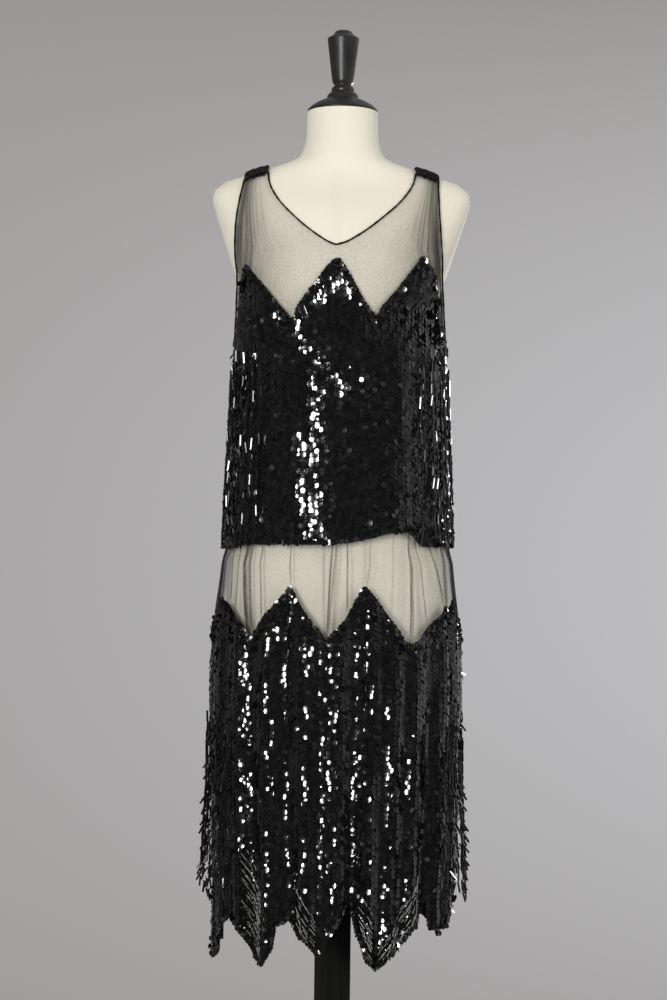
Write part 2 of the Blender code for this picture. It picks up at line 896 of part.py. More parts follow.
def build_bodice(tulle, piping, velvet):
    """Front and back panels, shoulder tabs and rolled edges."""
    front = bodice_panel_columns(FRONT_NECK, NECK_POINT, FRONT_BODICE_HEM, FRONT_BODICE_ZIGZAG, False)
    back = bodice_panel_columns(BACK_NECK, BACK_NECK_POINT, BACK_BODICE_HEM, BACK_BODICE_ZIGZAG, True)
    add_cloth("bodice_front", on_surface(front, bodice_point), tulle)
    add_cloth("bodice_back", on_surface(back, bodice_point), tulle)

    over_neck = Vector((0.0, 0.0, NECK_TOP))
    add_binding(
        "neck_binding_front",
        beside_edge(neck_edge(front, NECK_POINT), bodice_point, over_neck),
        piping,
    )
    back_edge = neck_edge(back[::-1], BACK_NECK_POINT)
    add_binding("neck_binding_back", beside_edge(back_edge, bodice_point, over_neck), piping)

    sides = (
        ("left", -1, front[0][0], back[0][-1]),
        ("right", 1, front[1][-1], back[1][0]),
    )
    for label, side, front_column, back_column in sides:
        add_tab(f"shoulder_tab_{label}", side, velvet)
        down = armhole_edge(front_column)[::-1]
        up = armhole_edge(back_column)[1:]
        hole = Vector((side * ARMHOLE_OUTSIDE, 0.0, ARMHOLE_MIDDLE))
        add_binding(f"armhole_binding_{label}", beside_edge(down + up, bodice_point, hole), piping)


def build_skirt(tulle):
    """Front and back panels, each one length of cloth from inside the bodice to the pointed hem."""
    add_cloth("skirt_front", on_surface([skirt_columns(-90, 90)], skirt_point), tulle)
    add_cloth("skirt_back", on_surface([skirt_columns(90, 270)], skirt_point), tulle)


def build_fringes(beads):
    """Strings of long beads at both sides of the bodice and of the skirt."""
    bodice_turns = [BODICE_FRINGE_START + BODICE_FRINGE_STEP * i for i in range(STRANDS)]
    skirt_turns = [SKIRT_FRINGE_START + SKIRT_FRINGE_STEP * i for i in range(STRANDS)]
    seat = SEQUIN_WALL + STRIP_GAP

    def short_end(number):
        return BODICE_FRINGE_FOOT + BODICE_FRINGE_WAVE * math.sin(2.4 * number)

    def long_end(number):
        return SKIRT_FRINGE_FOOT + SKIRT_FRINGE_WAVE * math.sin(1.9 * number)

    def close(_height):
        return seat + STRIP_GAP

    def loose(height):
        return smooth_value(FRINGE_SPREAD, 1, height)

    for label, side in (("left", -1), ("right", 1)):
        around = sorted(side * turn for turn in bodice_turns)
        name = f"bodice_fringe_{label}"
        add_fringe(name, bodice_ridge_point, around, BODICE_FRINGE_TOP, short_end, seat, close, beads)
        around = sorted(side * turn for turn in skirt_turns)
        name = f"skirt_fringe_{label}"
        add_fringe(name, skirt_ridge_point, around, SKIRT_FRINGE_TOP, long_end, seat, loose, beads)


def main():
    """Clear the scene and build the dress on its form."""
    for old in list(bpy.data.objects):
        bpy.data.objects.remove(old)
    collection = bpy.data.collections.new("flapper_dress")
    bpy.context.scene.collection.children.link(collection)

    paint = new_material("black_paint", (0.012, 0.011, 0.011), 0.45)
    lacquer = new_material("black_lacquered_wood", (0.016, 0.014, 0.013), 0.38)
    linen = new_material("cream_form_cover", (0.80, 0.75, 0.66), 0.85)
    tulle = new_material("sequinned_tulle", (0.010, 0.010, 0.011), 0.35)
    piping = new_material("rolled_edge", (0.008, 0.008, 0.008), 0.70)
    velvet = new_material("ruched_tab", (0.006, 0.006, 0.006), 0.90)
    beads = new_material("jet_beads", (0.010, 0.010, 0.010), 0.12)

    build_stand(paint, lacquer, linen)
    build_bodice(tulle, piping, velvet)
    build_skirt(tulle)
    build_fringes(beads)


main()
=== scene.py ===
import logging
import math
from dataclasses import dataclass
from enum import Enum
from functools import lru_cache
from typing import Callable, NamedTuple, Sequence

import bpy
import numpy as np
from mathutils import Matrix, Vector


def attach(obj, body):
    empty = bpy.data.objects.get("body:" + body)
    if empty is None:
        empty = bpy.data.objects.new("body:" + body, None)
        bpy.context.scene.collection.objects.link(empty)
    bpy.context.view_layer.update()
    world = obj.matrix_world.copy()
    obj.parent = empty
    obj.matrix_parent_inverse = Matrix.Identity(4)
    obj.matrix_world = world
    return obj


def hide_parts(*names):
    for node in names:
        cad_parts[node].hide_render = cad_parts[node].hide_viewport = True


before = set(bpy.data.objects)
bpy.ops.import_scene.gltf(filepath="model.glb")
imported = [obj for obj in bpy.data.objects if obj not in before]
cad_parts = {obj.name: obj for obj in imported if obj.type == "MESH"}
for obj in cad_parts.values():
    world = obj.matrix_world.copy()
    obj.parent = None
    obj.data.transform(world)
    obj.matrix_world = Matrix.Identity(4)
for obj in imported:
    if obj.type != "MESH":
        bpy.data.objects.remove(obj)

# Short names of the types that hints use most
Piece = bpy.types.Object
Material = bpy.types.Material
Tree = bpy.types.NodeTree
Socket = bpy.types.NodeSocket
Array = np.ndarray

LOG = logging.getLogger("flapper_dress")
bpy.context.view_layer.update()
SEED = 1926


class Ring(NamedTuple):
    """A level section: half width along X, reach to the front and back, and how square it is."""

    height: float
    half_width: float
    front: float
    back: float
    squareness: float


class Level(NamedTuple):
    """A value that changes with height."""

    height: float
    value: float


class Corner(NamedTuple):
    """A corner of an edge line: its place across the panel, and its height."""

    place: float
    height: float


class Fold(NamedTuple):
    """A fold: the turn of its ridge, and how deep the valley after it is, as a share."""

    ridge: float
    share: float


class Crease(NamedTuple):
    """A gather in the bare net: its places at the top and foot, its heights, width, rise and darkness, partly
    painted shade.
    """

    place_top: float
    place_foot: float
    top: float
    foot: float
    width: float
    rise: float
    shade: float


class Wave(NamedTuple):
    """A wave over the cloth: its size, how often it comes round and up, and its phase."""

    size: float
    around: float
    upward: float
    phase: float


class Flank(NamedTuple):
    """Part of a hem point: its turns, the heights that its bead lines span, and which way they rise."""

    start: float
    stop: float
    low: float
    high: float
    slope: int


def table(kind: type, *rows: tuple) -> tuple:
    """Rows of one kind of named tuple."""
    return tuple(kind(*row) for row in rows)


# Sizes that the part's own solids have, in metres but for the turn in degrees
NECK_TOP = 1.533
NECK_RADIUS = 0.049
FINIAL_TOP = 1.6474
TORSO_FOOT = 0.697
BASE_RADIUS = 0.200
BASE_HEIGHT = 0.022
POST_SIDE = 0.050
REST_GAP = 0.0003
EASE = 0.0022
SEAM_TURN = 0.06
UNDERARM = 1.205
NECK_POINT = 1.3325
BACK_NECK_POINT = 1.378
CHEST = 1.338
SHOULDER = 1.440
BUST = 1.270
SKIRT_TOP = 0.965
TUCK_FOOT = 0.925
TUCK_BLEND = 0.020
TUCK_GAP = 0.0031
TAB_REACH = 0.035
TAB_INNER = 0.1025
TAB_WIDTH = 0.031
TAB_SEAM = 0.0018

# How finely curves are read, and where the shoulder is looked for
LEVEL_SAMPLES = 121
ARMHOLE_SAMPLES = 161
SHOULDER_SEARCH = (1.405, 1.475)
HALVINGS = 30
TINY = 1e-12

# Lowest and highest level of each cloth's inner face, and of the plain faces under the fringes
BODICE_LEVELS = (0.90, 1.46)
SKIRT_LEVELS = (0.35, 0.97)
WAIST_LEVELS = (0.88, 1.23)
HIP_LEVELS = (0.38, 0.72)

# Ripples of the cloth: their size, and the heights between which they grow from nothing to that size
BODICE_RIPPLE = 0.0008
BODICE_RIPPLED = (1.25, 1.19)
SKIRT_RIPPLE = 0.0012
SKIRT_RIPPLED = (0.86, 0.74)

# Width, height and area of each flat panel as it was cut
BODICE_FLAT = (0.46, 0.53)
BODICE_AREA = 0.200
SKIRT_FLAT = (0.66, 0.61)
SKIRT_AREA = 0.340

# Sections of the form, the bodice and the skirt from the foot up
TORSO = table(
    Ring,
    (0.6970, 0.1380, 0.0960, 0.1000, 2.2), (0.7040, 0.1430, 0.1010, 0.1050, 2.2),
    (0.7600, 0.1500, 0.1080, 0.1120, 2.2), (0.8500, 0.1540, 0.1110, 0.1140, 2.2),
    (0.9300, 0.1480, 0.1075, 0.1090, 2.2), (1.0000, 0.1390, 0.1010, 0.0990, 2.2),
    (1.0700, 0.1215, 0.0910, 0.0850, 2.2), (1.1310, 0.1130, 0.0870, 0.0810, 2.2),
    (1.1900, 0.1190, 0.0960, 0.0870, 2.2), (1.2400, 0.1290, 0.1140, 0.0950, 2.2),
    (1.2800, 0.1390, 0.1180, 0.0990, 2.2), (1.3200, 0.1530, 0.1080, 0.1010, 2.3),
    (1.3600, 0.1660, 0.0930, 0.0980, 2.4), (1.3900, 0.1755, 0.0780, 0.0870, 2.5),
    (1.4100, 0.1800, 0.0650, 0.0740, 2.5), (1.4220, 0.1770, 0.0570, 0.0650, 2.4),
    (1.4330, 0.1630, 0.0510, 0.0580, 2.3), (1.4430, 0.1320, 0.0480, 0.0540, 2.2),
    (1.4530, 0.1010, 0.0475, 0.0520, 2.1), (1.4600, 0.0790, 0.0480, 0.0510, 2.0),
    (1.4680, 0.0620, 0.0490, 0.0500, 2.0), (1.4820, 0.0535, 0.0490, 0.0495, 2.0),
    (1.5020, 0.0498, 0.0490, 0.0490, 2.0), (NECK_TOP, NECK_RADIUS, NECK_RADIUS, NECK_RADIUS, 2.0),
)
BODICE = table(
    Ring,
    (0.900, 0.1575, 0.1275, 0.1240, 2.2), (0.925, 0.1570, 0.1270, 0.1230, 2.2),
    (1.000, 0.1545, 0.1262, 0.1180, 2.2), (1.075, 0.1510, 0.1255, 0.1125, 2.2),
    (1.131, 0.1485, 0.1245, 0.1090, 2.2), (1.187, 0.1470, 0.1235, 0.1065, 2.2),
    (1.236, 0.1463, 0.1220, 0.1045, 2.2), (1.280, 0.1470, 0.1200, 0.1020, 2.2),
    (1.320, 0.1520, 0.1060, 0.1000, 2.3),
)
SKIRT = table(
    Ring,
    (0.350, 0.1670, 0.1420, 0.1410, 2.2), (0.440, 0.1665, 0.1410, 0.1400, 2.2),
    (0.550, 0.1700, 0.1400, 0.1390, 2.2), (0.650, 0.1730, 0.1385, 0.1370, 2.2),
    (0.725, 0.1742, 0.1370, 0.1350, 2.2), (0.788, 0.1722, 0.1350, 0.1325, 2.2),
    (0.829, 0.1690, 0.1330, 0.1300, 2.2), (0.870, 0.1635, 0.1305, 0.1270, 2.2),
    (0.910, 0.1590, 0.1285, 0.1240, 2.2), (0.950, 0.1560, 0.1265, 0.1215, 2.2),
)
FRINGE_SPREAD = table(Level, (0.425, 0.0190), (0.520, 0.0120), (0.600, 0.0050), (0.660, 0.0032))
ARMHOLE_TURN = table(
    Level,
    (UNDERARM, 90.0), (1.209, 86.5), (1.222, 81.5), (1.245, 77.5), (1.270, 74.5), (1.295, 71.0),
    (CHEST, 60.5),
)
ARMHOLE_REACH = table(
    Level,
    (CHEST, 0.1430), (1.369, 0.1415), (1.395, 0.1385), (1.430, TAB_INNER + TAB_WIDTH),
)
FRONT_NECK = table(
    Level,
    (NECK_POINT, 0.0), (1.3369, 0.0122), (1.3464, 0.0275), (1.3560, 0.0405), (1.3743, 0.0613),
    (1.3954, 0.0819), (1.4098, 0.0921), (1.4200, 0.0978), (1.4300, 0.1011), (SHOULDER, TAB_INNER),
)
BACK_NECK = table(
    Level,
    (BACK_NECK_POINT, 0.0), (1.3820, 0.024), (1.3900, 0.048), (1.4030, 0.070), (1.4200, 0.088),
    (SHOULDER, TAB_INNER),
)

# The front yoke hangs a little to one side: share of the full shift by height
YOKE_SHIFT = table(
    Level,
    (1.220, 0.0), (1.300, 0.6), (1.340, 1.0), (1.370, 0.90), (1.400, 0.55), (1.440, 0.0),
)
YOKE_MIDDLE = 1.4
YOKE_GROWTH = 1.8

# Edge lines across a bodice panel, from -1 at its -X side to 1 at its +X side
FRONT_BODICE_HEM = table(
    Corner,
    (-1.0, 0.921), (-0.773, 0.922), (-0.556, 0.929), (-0.249, 0.931), (-0.043, 0.931), (0.055, 0.934),
    (0.187, 0.9415), (0.272, 0.9475), (0.413, 0.9485), (0.461, 0.938), (0.506, 0.929), (0.81, 0.928),
    (1.0, 0.925),
)
BACK_BODICE_HEM = table(Corner, (-1.0, 0.923), (0.0, 0.932), (1.0, 0.925))
FRONT_BODICE_ZIGZAG = table(
    Corner,
    (-1.0, 1.196), (-0.91, 1.200), (-0.895, 1.284), (-0.85, 1.298), (-0.81, 1.311), (-0.72, 1.298),
    (-0.553, 1.276), (-0.414, 1.252), (-0.30, 1.231), (-0.28, 1.236), (-0.256, 1.251), (-0.20, 1.268),
    (-0.138, 1.282), (-0.06, 1.303), (0.0, 1.3145), (0.048, 1.295), (0.12, 1.264), (0.211, 1.234),
    (0.287, 1.253), (0.433, 1.279), (0.568, 1.301), (0.703, 1.323), (0.777, 1.312), (0.837, 1.292),
    (0.842, 1.270), (0.846, 1.240), (0.855, 1.203), (1.0, 1.196),
)
BACK_BODICE_ZIGZAG = table(
    Corner,
    (-1.0, 1.196), (-0.91, 1.200), (-0.89, 1.288), (-0.75, 1.318), (-0.32, 1.228), (0.0, 1.320),
    (0.32, 1.228), (0.75, 1.318), (0.89, 1.288), (0.91, 1.200), (1.0, 1.196),
)

# Edge lines round the skirt, by turn
SKIRT_ZIGZAG = table(
    Corner,
    (-104, 0.852), (-84, 0.800), (-64, 0.851), (-47, 0.821), (-43, 0.796), (-21, 0.874), (-3.4, 0.801),
    (11.6, 0.875), (29.8, 0.803), (34.5, 0.797), (62, 0.848), (84, 0.800), (103, 0.852), (125, 0.795),
    (146, 0.872), (163, 0.796), (180, 0.875), (197, 0.796), (216, 0.872), (237, 0.795), (256, 0.852),
    (276, 0.800),
)
SKIRT_HEM = table(
    Corner,
    (-94, 0.380), (-86, 0.352), (-78, 0.368), (-66, 0.3905), (-63.6, 0.4125), (-60.4, 0.422),
    (-49.4, 0.415), (-44.2, 0.394), (-40, 0.375), (-32, 0.366), (-28.3, 0.3885), (-27, 0.421), (-25, 0.421),
    (-21.7, 0.4275), (-19.4, 0.428), (-14.4, 0.413), (-10.2, 0.400), (-6.3, 0.383), (-4, 0.390), (5, 0.455),
    (7.1, 0.463), (9.1, 0.432), (10.2, 0.414), (12.3, 0.400), (13.4, 0.378), (17.2, 0.365), (21.5, 0.371),
    (24.4, 0.3805), (30.8, 0.392), (34.2, 0.402), (36.5, 0.415), (47, 0.432), (49.7, 0.4525),
    (51.3, 0.4525), (52.3, 0.411), (68.7, 0.4055), (73, 0.433), (96, 0.436), (115, 0.368), (137, 0.432),
    (157, 0.364), (172, 0.436), (186, 0.366), (201, 0.434), (216, 0.364), (237, 0.432), (256, 0.366),
    (266, 0.380), (276, 0.352),
)
BODICE_FOLDS = table(
    Fold,
    (-90, 0.5), (-58, 1.0), (-9, 0.6), (30, 0.8), (58, 0.6), (90, 0.6), (116, 0.8), (140, 0.9), (166, 0.8),
    (196, 0.9), (226, 0.8), (248, 0.6),
)
BODICE_FOLD_DEPTH = table(
    Level,
    (0.900, 0.0065), (1.000, 0.0060), (1.131, 0.0040), (1.200, 0.0015), (BUST, 0.0),
)
SKIRT_FOLDS = table(
    Fold,
    (-90, 0.5), (-67, 0.5), (-49, 0.8), (-31, 1.0), (-11, 0.4), (0, 1.0), (14, 0.3), (25, 0.5), (37, 0.9),
    (57, 0.6), (72, 0.5), (90, 0.5), (105, 0.7), (118, 0.9), (134, 1.0), (150, 0.6), (163, 1.0), (176, 0.6),
    (189, 0.9), (203, 0.7), (218, 1.0), (233, 0.8), (250, 0.6),
)
SKIRT_FOLD_DEPTH = table(
    Level,
    (0.350, 0.0165), (0.500, 0.0145), (0.650, 0.0120), (0.800, 0.0085), (0.870, 0.0055), (0.930, 0.0020),
)

# Gathers of the bare net, placed one by one and uneven: by place on the bodice and by turn on the skirt
# Their darkness thickens the net and paints shade into its colour; rows with no rise only darken it.
FRONT_YOKE_CREASES = table(
    Crease,
    (-0.74, -0.74, 1.450, 1.20, 0.300, 0.0, 0.11), (0.74, 0.74, 1.450, 1.20, 0.300, 0.0, 0.12),
    (-0.95, -0.95, 1.434, 1.22, 0.060, 0.0010, 0.26), (-0.78, -0.86, 1.436, 1.27, 0.045, 0.0012, 0.17),
    (-0.86, -0.90, 1.436, 1.30, 0.012, 0.0008, 0.20), (-0.66, -0.78, 1.438, 1.29, 0.014, 0.0010, 0.20),
    (-0.58, -0.70, 1.438, 1.33, 0.010, 0.0006, 0.12), (-0.45, -0.62, 1.440, 1.35, 0.012, 0.0006, 0.09),
    (-0.28, -0.50, 1.440, 1.36, 0.014, 0.0006, 0.07), (0.97, 0.97, 1.434, 1.22, 0.060, 0.0010, 0.24),
    (0.82, 0.90, 1.436, 1.25, 0.050, 0.0012, 0.17), (0.72, 0.80, 1.438, 1.27, 0.014, 0.0010, 0.20),
    (0.60, 0.72, 1.438, 1.30, 0.012, 0.0008, 0.17), (0.50, 0.66, 1.440, 1.33, 0.010, 0.0006, 0.13),
    (0.38, 0.56, 1.440, 1.35, 0.012, 0.0006, 0.09), (0.90, 0.93, 1.436, 1.25, 0.012, 0.0008, 0.16),
)
BACK_YOKE_CREASES = table(
    Crease,
    (-0.95, -0.95, 1.436, 1.24, 0.050, 0.0010, 0.16), (-0.80, -0.86, 1.438, 1.28, 0.014, 0.0010, 0.17),
    (-0.62, -0.74, 1.440, 1.38, 0.012, 0.0008, 0.13), (-0.40, -0.58, 1.443, 1.39, 0.012, 0.0006, 0.08),
    (0.36, 0.52, 1.443, 1.39, 0.012, 0.0006, 0.08), (0.58, 0.70, 1.440, 1.38, 0.012, 0.0008, 0.13),
    (0.78, 0.85, 1.438, 1.28, 0.014, 0.0010, 0.17), (0.95, 0.95, 1.436, 1.24, 0.050, 0.0010, 0.16),
)
FRONT_HIP_CREASES = table(
    Crease,
    (-84, -80, 0.955, 0.80, 3.8, 0.0020, 0.66), (-73, -66, 0.955, 0.81, 1.0, 0.0022, 0.42),
    (-65, -60, 0.955, 0.84, 0.5, 0.0018, 0.46), (-57, -53.6, 0.955, 0.82, 0.4, 0.0014, 0.44),
    (-51.4, -42.9, 0.955, 0.796, 1.1, 0.0026, 0.62), (-48.4, -41.2, 0.955, 0.80, 0.3, 0.0010, 0.40),
    (-42.2, -34.4, 0.955, 0.82, 0.3, 0.0012, 0.52), (-22.7, -20.6, 0.955, 0.87, 0.3, 0.0008, 0.32),
    (-6.5, -3.6, 0.955, 0.80, 0.6, 0.0010, 0.16), (-1.2, -3.7, 0.955, 0.80, 0.35, 0.0014, 0.46),
    (-0.2, -2.6, 0.955, 0.81, 0.3, 0.0014, 0.30), (4.4, 3.4, 0.955, 0.83, 0.3, 0.0012, 0.40),
    (13.4, 10.5, 0.955, 0.87, 0.8, 0.0008, 0.10), (16, 12, 0.955, 0.87, 0.4, 0.0006, 0.18),
    (27, 24, 0.955, 0.84, 0.4, 0.0008, 0.14), (37.0, 33.6, 0.955, 0.797, 0.35, 0.0014, 0.54),
    (38.6, 34.6, 0.955, 0.80, 0.35, 0.0014, 0.34), (42.2, 46.5, 0.955, 0.82, 0.35, 0.0014, 0.42),
    (50.6, 60, 0.955, 0.85, 0.45, 0.0018, 0.46), (66, 66, 0.955, 0.84, 1.0, 0.0020, 0.30),
    (76, 77, 0.955, 0.79, 1.6, 0.0020, 0.36), (85, 85, 0.955, 0.78, 4.5, 0.0020, 0.60),
)
BACK_HIP_CREASES = table(
    Crease,
    (95, 95, 0.955, 0.78, 4.5, 0.0020, 0.55), (104, 108, 0.955, 0.85, 0.7, 0.0018, 0.16),
    (118, 124, 0.955, 0.80, 0.9, 0.0022, 0.20), (129, 128, 0.955, 0.80, 0.4, 0.0012, 0.13),
    (141, 142, 0.955, 0.85, 0.4, 0.0010, 0.10), (156, 160, 0.955, 0.80, 0.5, 0.0014, 0.14),
    (166, 164, 0.955, 0.80, 0.4, 0.0012, 0.13), (178, 178, 0.955, 0.87, 0.5, 0.0008, 0.07),
    (193, 196, 0.955, 0.80, 0.5, 0.0014, 0.15), (202, 199, 0.955, 0.80, 0.4, 0.0012, 0.12),
    (215, 215, 0.955, 0.87, 0.4, 0.0008, 0.08), (230, 235, 0.955, 0.80, 0.9, 0.0022, 0.20),
    (241, 240, 0.955, 0.80, 0.5, 0.0014, 0.14), (252, 253, 0.955, 0.85, 0.7, 0.0018, 0.15),
    (266, 266, 0.955, 0.78, 4.5, 0.0020, 0.55),
)

# Degrees by which the front bodice's sequins lean to one side by height, as the cloth under them swings
FRONT_SWING = table(
    Level,
    (1.030, 0.0), (1.071, 0.0), (1.125, -2.0), (1.152, -7.0), (1.175, -2.0), (1.198, 4.0), (1.232, 14.0),
    (1.248, 11.0), (1.260, -2.0), (1.272, -4.0), (1.309, -6.0),
)
# Degrees by which sequins tip by height: down where the cloth slopes out over the bust, and up on the
# skirt's peaks
SKIRT_TIP = table(Level, (0.790, 0.0), (0.832, 9.0), (0.880, 12.0))
FRONT_TIP = table(Level, (1.185, 0.0), (1.235, -3.0), (1.258, -8.0), (1.285, -14.0), (1.309, -18.0))

# Waves that add up to the cloth's ripples, and to what neighbouring sequins share
RIPPLE_WAVES = table(Wave, (1.0, 17, 9, 0.0), (0.7, 29, -14, 1.3), (0.6, 41, 21, 0.4), (0.5, 11, 30, 0.0))
SEQUIN_WAVES = table(
    Wave,
    (1.0, 23, 31, 1.0), (1.0, 37, -57, 3.0), (1.0, 11, 83, 5.0), (0.8, 71, 17, -1.0),
)

# Flanks of the hem's points that are sewn with slanting bugle lines in place of sequins
BEADED_FLANKS = table(
    Flank,
    (-47, -33, 0.398, 0.490, -1), (-16, -7, 0.398, 0.452, -1), (10, 16, 0.400, 0.450, -1),
    (19, 42, 0.384, 0.440, 1), (98, 113, 0.392, 0.470, -1), (140, 155, 0.388, 0.470, -1),
    (160, 170, 0.388, 0.450, 1), (188, 200, 0.388, 0.460, 1), (204, 215, 0.388, 0.460, -1),
    (219, 234, 0.388, 0.460, 1),
)


class CutSide(Enum):
    """Which panel of a pair a cloth is."""

    FRONT = "front"
    BACK = "back"


class Slot(Enum):
    """The record's material slots."""

    TULLE = "sequinned_tulle"
    TAB = "ruched_tab"
    EDGE = "rolled_edge"
    BEADS = "jet_beads"
    COVER = "form_cover"
    LACQUER = "black_lacquer"
    PAINT = "base_paint"


def ramp(values: Array | float, start: float, stop: float) -> Array:
    """Share of the way from start to stop, held at 0 before it and at 1 after it."""
    return np.clip((values - start) / (stop - start), 0.0, 1.0)


def run_along(points: Array) -> Array:
    """Distance along a line of points, at each of them."""
    return np.concatenate([[0.0], np.cumsum(np.linalg.norm(np.diff(points, axis=0), axis=1))])


def summed(
    waves: Sequence[Wave], turns: Array, heights: Array | float, phase: float = 1.0
) -> Array:
    """Sum of waves at each turn and height, with each wave's phase scaled."""
    t = np.radians(turns)
    return sum(w.size * np.sin(w.around * t + w.upward * heights + w.phase * phase) for w in waves)


def slopes(heights: Sequence[float], values: Sequence[float]) -> list[float]:
    """Slope at each height that keeps a curve through the values free of overshoot.

    Args:
        heights: Rising heights.
        values: The value at each height.

    Returns:
        One slope a height.
    """
    steps = [(values[i + 1] - values[i]) / (heights[i + 1] - heights[i]) for i in range(len(values) - 1)]
    inner = [2 * a * b / (a + b) if a * b > 0 else 0.0 for a, b in zip(steps, steps[1:])]
    return [steps[0]] + inner + [steps[-1]]


@lru_cache(maxsize=None)
def smooth_value(rows: tuple, column: int, height: float) -> float:
    """Value of one column of a table at a height, along a smooth curve.

    Args:
        rows: Table with rising heights.
        column: Which column is read.
        height: Where it is read.

    Returns:
        The value, held flat past either end.
    """
    heights = [row.height for row in rows]
    values = [row[column] for row in rows]
    if height <= heights[0]:
        return values[0]
    if height >= heights[-1]:
        return values[-1]
    tangents = slopes(heights, values)
    last = max(i for i in range(len(heights) - 1) if heights[i] <= height)
    span = heights[last + 1] - heights[last]
    t = (height - heights[last]) / span
    start = (2 * t ** 3 - 3 * t ** 2 + 1) * values[last] + (t ** 3 - 2 * t ** 2 + t) * span * tangents[last]
    end = (3 * t ** 2 - 2 * t ** 3) * values[last + 1] + (t ** 3 - t ** 2) * span * tangents[last + 1]
    return start + end


@lru_cache(maxsize=None)
def ring_at(rows: tuple, height: float) -> Ring:
    """Section of a table of rings at a height."""
    return Ring(height, *(smooth_value(rows, column, height) for column in range(1, len(Ring._fields))))


def grown(ring: Ring, out: float) -> Ring:
    """The ring moved out by a distance all round."""
    return ring._replace(half_width=ring.half_width + out, front=ring.front + out, back=ring.back + out)


@lru_cache(maxsize=None)
def bodice_ring(height: float) -> Ring:
    """Inner section of the bodice: the larger of the form with its ease and the cloth's own section.

    Args:
        height: Height of the section.

    Returns:
        The section.
    """
    form = grown(ring_at(TORSO, height), EASE)
    if height >= BODICE[-1].height:
        return form
    cloth = ring_at(BODICE, height)
    return Ring(height, *(max(a, b) for a, b in zip(form[1:4], cloth[1:4])), cloth.squareness)


def ring_points(ring: Ring, turns: Array, out: Array) -> Array:
    """Points of a section.

    Args:
        ring: The section.
        turns: Turns in degrees.
        out: How far each point is moved out.

    Returns:
        One point a turn.
    """
    power = 2 / ring.squareness
    across = np.sin(np.radians(turns))
    ahead = np.cos(np.radians(turns))
    reach = np.where(ahead > 0, ring.front, ring.back) + out
    x = (ring.half_width + out) * np.sign(across) * np.abs(across) ** power
    y = -reach * np.sign(ahead) * np.abs(ahead) ** power
    return np.stack([x, y, np.full_like(x, ring.height)], axis=-1)


def turn_at(ring: Ring, x: float) -> float:
    """Turn, between 0 and 90, where a section is a distance from the centre line."""
    return math.degrees(math.asin(min(1.0, abs(x) / ring.half_width) ** (ring.squareness / 2)))


def line_heights(corners: Sequence[Corner], places: Array | float) -> Array:
    """Heights of an edge line at places, straight from corner to corner."""
    return np.interp(places, [c.place for c in corners], [c.height for c in corners])


def fold_shares(folds: Sequence[Fold], turns: Array) -> Array:
    """How far into a valley each turn is.

    Args:
        folds: The folds by rising turn.
        turns: Turns in degrees.

    Returns:
        0 on a ridge, and a fold's share in the middle of its valley.
    """
    ridges = np.array([fold.ridge for fold in folds] + [folds[0].ridge + 360.0])
    shares = np.array([fold.share for fold in folds])
    turned = ridges[0] + (turns - ridges[0]) % 360.0
    which = np.clip(np.searchsorted(ridges, turned, side="right") - 1, 0, len(folds) - 1)
    phase = (turned - ridges[which]) / (ridges[which + 1] - ridges[which])
    return shares[which] * (1 - np.cos(2 * np.pi * phase)) / 2


@lru_cache(maxsize=None)
def armhole_turn(height: float) -> float:
    """Turn of the armhole's edge at a height.

    Args:
        height: The height.

    Returns:
        The turn in degrees.
    """
    if height <= CHEST:
        return smooth_value(ARMHOLE_TURN, 1, height)
    return turn_at(bodice_ring(height), smooth_value(ARMHOLE_REACH, 1, height))


def smooth_values(rows: tuple, heights: Array) -> Array:
    """Values of a table of levels at many heights."""
    fine = np.linspace(rows[0].height, rows[-1].height, LEVEL_SAMPLES)
    return np.interp(heights, fine, [smooth_value(rows, 1, float(height)) for height in fine])


def armhole_turns(heights: Array) -> Array:
    """Turns of the armhole's edge at many heights."""
    fine = np.linspace(UNDERARM, SHOULDER, ARMHOLE_SAMPLES)
    return np.interp(heights, fine, [armhole_turn(float(height)) for height in fine])


def yoke_shift(places: Array, heights: Array) -> Array:
    """Degrees by which the front yoke hangs to one side, most at its +X armhole."""
    full = YOKE_MIDDLE + YOKE_GROWTH * places + YOKE_GROWTH * places * places
    return -smooth_values(YOKE_SHIFT, heights) * full


def shoulder_height(x: float, y: float) -> float:
    """Height of the bodice's inner face over a point of the shoulder.

    Args:
        x: Distance from the centre line.
        y: Depth of the point.

    Returns:
        The height where the section just reaches the point.
    """
    low, high = SHOULDER_SEARCH
    for _ in range(HALVINGS):
        height = (low + high) / 2
        ring = grown(ring_at(TORSO, height), EASE)
        reach = ring.front if y < 0 else ring.back
        if (abs(x) / ring.half_width) ** ring.squareness + (abs(y) / reach) ** ring.squareness < 1:
            low = height
        else:
            high = height
    return low


def unit(rows: Array) -> Array:
    """Rows of unit length."""
    return rows / np.maximum(np.linalg.norm(rows, axis=-1, keepdims=True), TINY)


